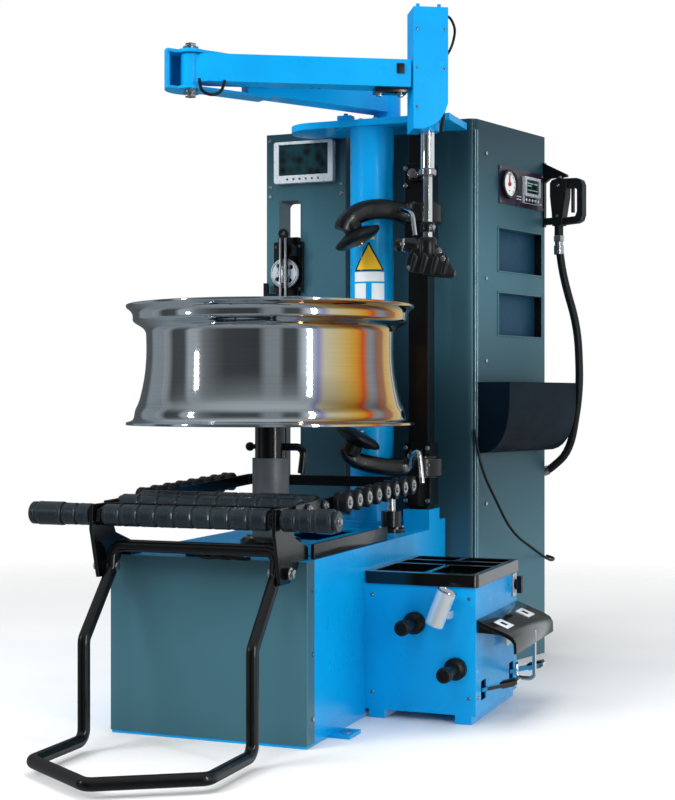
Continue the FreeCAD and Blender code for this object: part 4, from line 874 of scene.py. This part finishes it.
def tool_arm():
    """Bolts, plug, bracket, cable loop and hose of the articulated arm; bolts of the top plate."""
    link = Piece("outer_link_fittings", "outer", "black_plastic")
    link.add("plastic", block((524, 544), (-37, -32.5), (1586, 1612), 1.5, OUTER))
    link.add("black", block((470, 556), (-24, 24), (1540, 1553), 3, OUTER))
    for x in (484, 540):
        link.bolt(8, 8, OUTER @ move((x, 0, 1540)) @ Matrix.Rotation(pi, 4, "X"))
    top, half = hi("head_box").z - 18, 45
    cable = [(-4, 0, -8), (16, 0, -12), (30, 0, -44), (22, 0, -84), (8, 0, -112), (-4, 0, -118)]
    link.add("rubber", tube(cable, 3.4, 16, 12, HEAD @ move((half, 4, top))))
    link.add("rubber", tube([(34, -34, 1516), (34, -34, 1470), (28, -36, 1438)], 5, 12, 12, HEAD))
    for x in (-26, 30):
        link.bolt(9.5, 9, HEAD @ move((x, 0, top)))
    edge = half - 9
    for x, z in ((-edge, 1500), (-edge, 1600), (edge, 1600), (-edge, 1700), (edge, 1700)):
        link.add("zinc", dome(3.6, 2.2, HEAD @ ahead(x, -half, z)))
    link.add("rubber", tube([(20, -44, 1556), (24, -50, 1524), (50, -50, 1512), (76, -46, 1524),
                             (84, -34, 1554)], 4, 14, 12, OUTER))
    link.done()
    inner = Piece("inner_link_fittings", "inner", "zinc_steel")
    for z, way in ((hi("elbow_pin").z - 3, 1), (lo("elbow_pin").z + 2, -1)):
        inner.bolt(15, 10, along((0, 0, way), ELBOW + UP * z))
    for x in (418, 444):
        for way in (-1, 1):
            inner.bolt(7, 7, INNER @ along((0, way, 0), (x, way * 32, 1584)))
    inner.add("black", block((120, 300), (-4, 4), (1626, 1633), 2, INNER))
    inner.done()
    plate = Piece("top_plate_fittings", "base", "zinc_steel")
    level = hi("column").z + 18
    column = flat(mid("column"))
    for x, y in circle(40, 6):
        spot = column + Vector((x, y, 0))
        if (spot - SHOULDER).length > 50:
            plate.bolt(7, 7, move(spot + UP * level))
    plate.bolt(20, 16, move(SHOULDER + UP * (hi("top_plate").z - 8)))
    for side in (-1, 1):
        plate.bolt(7, 7, move((RAIL.x + side * 16, RAIL.y, level)))
    plate.done()


def mounting_tool():
    """Vertical shaft with sleeve and clamp, and the cast tool head with its roller."""
    axis = move(HEAD_AT)
    shaft = Piece("tool_shaft_plated", "shaft", "chrome", "tool_shaft")
    shaft.add("chrome", lathe([(0.5, 1338), (14, 1338), (17.5, 1346), (18, 1350), (18, 1606), (16, 1610),
                               (0.5, 1610)], 48, axis))
    shaft.add("chrome", prism(circle(13, 6), lo("tool_shaft").z, 1346, 1.2, axis))
    sleeve = [(13, 1330), (21, 1330), (23, 1333), (23, 1344), (20, 1348), (13, 1348)]
    shaft.add("zinc", hoop(sleeve, 48, axis))
    shaft.add("black", hoop([(12.5, 1184), (18, 1184), (19, 1187), (19, 1206), (17, 1210), (12.5, 1210)],
                             40, axis))
    shaft.bolt(6, 8, along((1, -0.6, 0), HEAD_AT + Vector((15, -9, 1196))))
    shaft.done()
    tool = Piece("tool_head_cast", "tool", "cast_black", "tool_head")
    boss = [(11.9, 1118), (22, 1118), (25, 1122), (25, 1162), (21, 1170), (11.9, 1170)]
    tool.add("cast", hoop(boss, 48, TOOL))
    wing = [(-32, 1150), (-50, 1122), (-56, 1094), (-42, 1079), (8, 1070), (64, 1064), (73, 1070),
            (74, 1080), (54, 1112), (34, 1142), (14, 1162), (-12, 1168)]
    tool.add("cast", upright_prism(wing, -18, 18, 6, TOOL))
    for i in range(4):
        left = -46 + 27 * i
        fin = [(left, 1082 - 3 * i), (left + 9, 1080 - 3 * i), (left + 22, 1118 - 2 * i), (left + 12, 1130)]
        tool.add("cast", upright_prism(fin, -26, 26, 4, TOOL))
    tool.add("steel", upright_prism([(-54, 1092), (-40, 1080), (-36, 1086), (-48, 1098)], -20, 20, 2, TOOL))
    roller = TOOL @ along((-1, 0, 0.12), (-22, 0, 1148))
    tyre = [(0.5, -4), (15, -4), (19, 0), (20, 8), (20, 34), (17, 38), (0.5, 38)]
    tool.add("gloss", lathe(tyre, 40, roller))
    tool.add("chrome", hoop([(12, 38), (17, 38), (18, 40), (17, 43), (12, 43)], 40, roller))
    tool.add("gloss", lathe([(0.5, 43), (15, 43), (18, 48), (18, 56), (12, 63), (0.5, 64)], 40, roller))
    for x, z in ((30, 1134), (42, 1114)):
        for way in (-1, 1):
            tool.add("chrome", bolt(6, 8, TOOL @ along((0, way, 0), (x, way * 18, z))))
    tool.done(40)


# ---- housing, cabinet and instruments

def instruments():
    """Face, rim and marks of the gauge, and the panel's and the display's small parts."""
    dial = Piece("gauge_dial", "base", "gauge_metal")
    face = SIDE @ ahead(NEEDLE_ALONG, -7, at("gauge_needle_turn").z)
    dial.add("dial", lathe([(0.4, 0.1), (35.6, 0.1), (35.6, 0.7), (0.4, 0.7)], 64, face))
    dial.add("gloss", hoop([(36, 6.5), (41, 6.5), (42, 7.5), (41.5, 9), (38, 9.6), (36, 8.6)], 64, face))
    for i in range(28):
        half, start = (0.5, 29) if i % 3 else (0.9, 26)
        spot = face @ Matrix.Rotation(radians(-135 + 10 * i), 4, "Z")
        dial.add("black", block((-half, half), (start, 33), (0.6, 1.1), 0, spot))
    dial.add("red", block((-4, 4), (-20, -17), (0.6, 1), 0, face))
    dial.done()
    panel = Piece("panel_fittings", "base", "panel_print")
    low, high = lo("gauge_panel").z, hi("gauge_panel").z
    for t in (132, 366):
        for level in (low + 7, high - 7):
            panel.add("zinc", dome(4, 2.4, SIDE @ ahead(t, -3, level)))
    for t0, t1, level in ((218, 246, low + 20), (218, 246, low + 28), (344, 362, low + 16)):
        panel.add("silver", block((t0, t1), (-3.8, -3), (level, level + 3), 0.3, SIDE))
    panel.add("screen", block((260.5, 329.5), (-11.9, -11), (1350.5, 1389.5), 0.2, SIDE))
    for t0, t1, level, tall in ((266, 298, 1378, 3), (266, 288, 1371, 3), (304, 324, 1378, 3),
                                (266, 324, 1359, 2)):
        panel.add("lit", block((t0, t1), (-12.3, -11.8), (level, level + tall), 0, SIDE))
    panel.add("gloss", block((253, 337), (-11, -9.9), (1322, 1340), 0.4, SIDE))
    for i in range(5):
        panel.add("silver", dome(4.2, 2.2, SIDE @ ahead(261 + 17 * i, -11, 1331)))
    panel.done()


def monitor_details():
    """Keys and groove of the monitor's bezel, and the soft shapes of its picture."""
    made = Piece("monitor_keys", "base", "silver_plastic")
    low, high = box("monitor_bezel")
    left, right, front = low.x, high.x, low.y
    for i in range(6):
        made.add("black", dome(3.2, 1.6, ahead(left + 42 + 19 * i, front, low.z + 11)))
    groove = (low.z + 22, low.z + 24)
    made.add("black", block((left + 15, right - 15), (front + 3.2, front + 4.2), groove, 0))
    for x, z in (((-250, -196), (1404, 1440)), ((-188, -150), (1410, 1462)), ((-144, -114), (1402, 1450))):
        made.add("lit_soft", block(x, (front + 5.2, front + 5.9), z, 0.2))
    made.done()


def cabinet_details():
    """Vents, back panel, inlet, painted highlight strips on the corner bends, and recesses of the cabinet
    with painted shadow strips; vents of the housing.
    """
    back = hi("tower_cabinet").y - 28
    made = Piece("cabinet_fittings", "base", "grey_panel")
    made.add("grey", block((30, 380), (back, back + 3), (80, 1200), 2))
    for i in range(9):
        for low in (180, 980):
            z = low + 18 * i
            louvre = [(back + 3, z), (back + 9, z), (back + 3, z + 12)]
            made.add("grey", prism(louvre, 110, 300, 0.6, YZ))
    made.add("zinc", *screws((0, 1, 0), (44, 366), (back + 3,), (100, 460, 820, 1180)))
    made.add("brass", prism(circle(15, 6), 0, 9, 1.2, along((0, 1, 0), (80, back, 1300))))
    left, right, lip = 126, 367, 6
    for low, high in ((1117, 1238), (935, 1054)):
        whole, tall = (left - lip, right + lip), (low - 4, high + 4)
        for x, z in ((whole, (high, high + 4)), (whole, (low - 4, low)), ((left - lip, left), tall),
                     ((right, right + lip), tall)):
            made.add("grey", block(x, (-2.2, 0.2), z, 1, SIDE))
        made.add("recess", block((left + 0.1, right - 0.1), (24.6, 25.9), (low, high), 0.2, SIDE))
        # painted shadow: a black strip on each recess's right wall stands in for the shade there
        made.add("black", block((right - 1.6, right - 0.1), (0.6, 24.6), (low, high), 0.2, SIDE))
    # painted highlight: two pale strips stand in for the light caught by the cabinet's corner bends
    for t in (3, 14):
        made.add("bend_highlight", block((t, t + 3), (-1.0, 0.2), (30, 1500), 0.5, SIDE))
    made.done()
    house = Piece("housing_fittings", "base", "grey_panel")
    low, high = box("monitor_housing")
    for i in range(7):
        z = 1380 + 14 * i
        house.add("black", block((low.x + 60, high.x - 60), (high.y - 0.4, high.y + 1.6), (z, z + 6), 0.8))
    house.add("zinc", *screws((0, 1, 0), (low.x + 14, high.x - 14), (high.y,), (60, 760, 1460)))
    for x in ((-268, -264.5), (-198.5, -195)):
        house.add("grey", block(x, (low.y - 1.6, low.y), (519, 1326), 0.7))
    house.done()


def gun_and_hose():
    """Hose with crimped unions, thin cable, and the gun's screws and nozzle."""
    made = Piece("air_hose", "base", "hose_rubber", "hoses")
    start = SIDE @ Vector((378, -52, 0))
    path = [start + UP * 1206, (486, 1031, 1110), (528, 1038, 960), (534, 1040, 780), (500, 1064, 600),
            (440, 1066, 545), (424, 1064, 539)]
    made.add("rubber", tube(path, 11.5, 70, 24))
    for low, high, radius, sides in ((1216, 1234, 15, 6), (1204, 1217, 12, 32), (1178, 1205, 14.5, 32)):
        made.add("zinc", lathe([(0.5, low), (radius - 1.5, low), (radius, low + 1.5), (radius, high - 1.5),
                                (radius - 1.5, high), (0.5, high)], sides, move(start)))
    made.add("zinc", rod(14, 0, 16, 32, along((-16, -2, -6), (434, 1065.5, 542.5))))
    made.add("rubber", tube([(318, 675, 667), (338, 668, 560), (400, 760, 380), (470, 930, 285),
                             (462, 1030, 283), (432, 1050, 288)], 4, 60, 14))
    made.done()
    gun = Piece("gun_fittings", "base", "black_plastic")
    for y, z in ((-58, 1380), (-54, 1290)):
        gun.add("zinc", dome(5, 3, SIDE @ along((-1, 0, 0), (363, y, z))))
    gun.add("zinc", lathe([(0.5, 0), (9, 0), (9, 10), (6, 12), (6, 26), (4, 28), (0.5, 28)], 24,
                          SIDE @ along((0.1, 0.4, 1), (378, -60, 1396))))
    gun.done()


# ---- helper, column labels, pedal box

def helper_details():
    """Strips, screws and clamp of the helper bar, and two raised rings on its wheel."""
    made = Piece("helper_fittings", "helper", "zinc_steel")
    x, front, z = mid("helper_wheel").x, lo("helper_wheel").y, mid("helper_wheel").z
    bar = x + 3.5
    for height in (1124, 1102):
        made.add("zinc", dome(3.4, 2, ahead(bar, 604, height)))
    made.add("black", block((-238, -200), (612, 651), (1160, 1194), 4))
    for t0, t1, bottom, top in ((-11.5, -4.8, 960, 1212), (4.8, 11.5, 960, 1212), (-4.8, 4.8, 1083, 1133)):
        made.add("steel", block((bar + t0, bar + t1), (603, 604.2), (bottom, top), 0.4))
    for height in (z + 78, z - 44):
        for side in (-268, -196):
            made.add("zinc", dome(4, 2.6, ahead(side, 650, height)))
    made.done()
    disc = Piece("helper_disc_plated", "helper_disc", "chrome")
    for radius in (38, 20):
        disc.add("chrome", hoop([(radius - 1.5, 0), (radius - 0.8, 0.9), (radius + 0.8, 0.9),
                                  (radius + 1.5, 0)], 64, ahead(x, front + 3.05, z)))
    disc.done()


def curved_plate(x0, x1, z0, z1, lift, shape=lambda t: (0, 1)):
    """Label wrapped on the column; shape gives its ends at each height."""
    centre = mid("column")
    radius = hi("column").x - centre.x + lift
    bm = bmesh.new()
    steps = 24
    rows = []
    for j in range(steps + 1):
        t = j / steps
        left, right = shape(t)
        places = (x0 + (x1 - x0) * (left + (right - left) * i / steps) for i in range(steps + 1))
        angles = [radians(-66.3) + place / radius for place in places]
        spots = (centre + Vector((radius * cos(a), radius * sin(a), 0)) for a in angles)
        rows.append([bm.verts.new((spot.x, spot.y, z0 + (z1 - z0) * t)) for spot in spots])
    for a, b in zip(rows, rows[1:]):
        for i in range(steps):
            bm.faces.new((a[i], a[i + 1], b[i + 1], b[i]))
    return bm


def peak(t):
    return 0.5 * t, 1 - 0.5 * t


def labels():
    """Blank plates on the column and the pedal hood, and the hood with its bail."""
    made = Piece("column_plates", "base", "panel_print")
    made.add("black", curved_plate(-57, 31, 1101, 1180, 0.4, peak))
    made.add("yellow", curved_plate(-50, 24, 1104.5, 1171, 1.1, peak),
             curved_plate(-30, 4, 1186, 1214, 0.8, peak))
    made.add("white", curved_plate(-57, 31, 1072, 1098, 0.8), curved_plate(-57, -21, 1020, 1067, 0.8),
             curved_plate(-5, 31, 1020, 1067, 0.8))
    made.done()
    hood = Piece("hood_sheet", "base", "gloss_black", "pedal_hood")
    low, high = lo("pedal_hood").y, hi("pedal_hood").y
    sheet = [(510.1, 242), (583, 213.6), (597, 205.5), (604, 194), (604.8, 168), (598, 168), (597, 190),
             (590, 198), (578, 204.5), (510.1, 231)]
    hood.add("gloss", upright_prism(sheet, low, high, 1.2))
    for y in (low + 2, high - 5):
        hood.add("gloss", upright_prism([(510.1, 232), (566, 209.5), (510.1, 212)], y, y + 3, 0.5))
    hood.add("chrome", tube([(600, 208, 198), (600, 208, 80), (556, 208, 80), (556, 208, 112),
                             (556, 216, 112)], 5, 16))
    base = move((510, 0, 242)) @ Matrix.Rotation(atan2(37, 95), 4, "Y")
    for y0, y1 in ((44, 150), (246, 352)):
        hood.add("white", block((30, 66), (y0 + 24, y1 - 24), (0.1, 1.1), 0.3, base))
        hood.add("black", block((40, 56), (y0 + 42, y0 + 60), (1, 1.4), 0, base))
    hood.done()


def pedal_box_details():
    """Plates and screws of the control box, pedal treads, the cup's rim with a painted shade disc inside,
    and peg flanges.
    """
    made = Piece("pedal_box_fittings", "base", "zinc_steel")
    front, right = lo("control_box").y, 510.5
    made.add("silver", block((right, right + 3), (342, 378), (256, 314), 1.5))
    made.add("zinc", *screws((1, 0, 0), (right - 0.5,), (32, 370), (60, 220)))
    made.add("zinc", *screws((0, -1, 0), (256, 494), (front,), (60, 290)))
    made.add("silver", block((right + 12, right + 16), (230, 290), (150, 212), 1.5))
    made.done()
    for word in ("front", "rear"):
        low, high = box("pedal_" + word)
        pad = Piece("pedal_" + word + "_tread", word + "_pedal", "black_plastic")
        wide = (low.y + 2, high.y - 2)
        slope = move((595, 0, high.z)) @ Matrix.Rotation(-atan2(40, 145), 4, "Y")
        pad.add("rubber", block((-44, -4), wide, (0.2, 4.2), 1.5, slope))
        for i in range(5):
            pad.add("rubber", block((-40 + 8 * i, -37 + 8 * i), wide, (3.8, 5.6), 0.7, slope))
        pad.done()
    cup = Piece("cup_rim_and_painted_shade", "base", "chrome")
    tilt = radians(22)
    axis = Vector((sin(tilt), 0, cos(tilt)))
    mouth = along(axis, Vector((440, -35, 273)) + axis * 43)
    cup.add("chrome", hoop([(19.6, -3), (22, -3), (23, -1), (22.4, 1), (20.4, 1), (19.6, -1)], 48, mouth))
    # painted shade: a black disc inside the mouth stands in for the dark inside of the cup
    cup.add("black", rod(19.4, -30, -28, 40, mouth))
    cup.done()
    pegs = Piece("peg_flanges", "base", "black_plastic")
    for x, z in ((363, 229), (463, 128)):
        peg = ahead(x, front, z)
        pegs.add("plastic", hoop([(12, 14), (24, 14), (20, 20), (13, 24), (12, 24)], 40, peg))
        pegs.add("plastic", hoop([(12, 78), (17.4, 80), (18, 84), (18, 99), (15, 104.6), (12, 104.6)], 40,
                                  peg))
    pegs.done()


dress_frame()
wheel()
spindle_details()
rollers()
skate_wheels()
table_details()
disc_arms()
tool_arm()
mounting_tool()
instruments()
monitor_details()
cabinet_details()
gun_and_hose()
helper_details()
labels()
pedal_box_details()
stage()
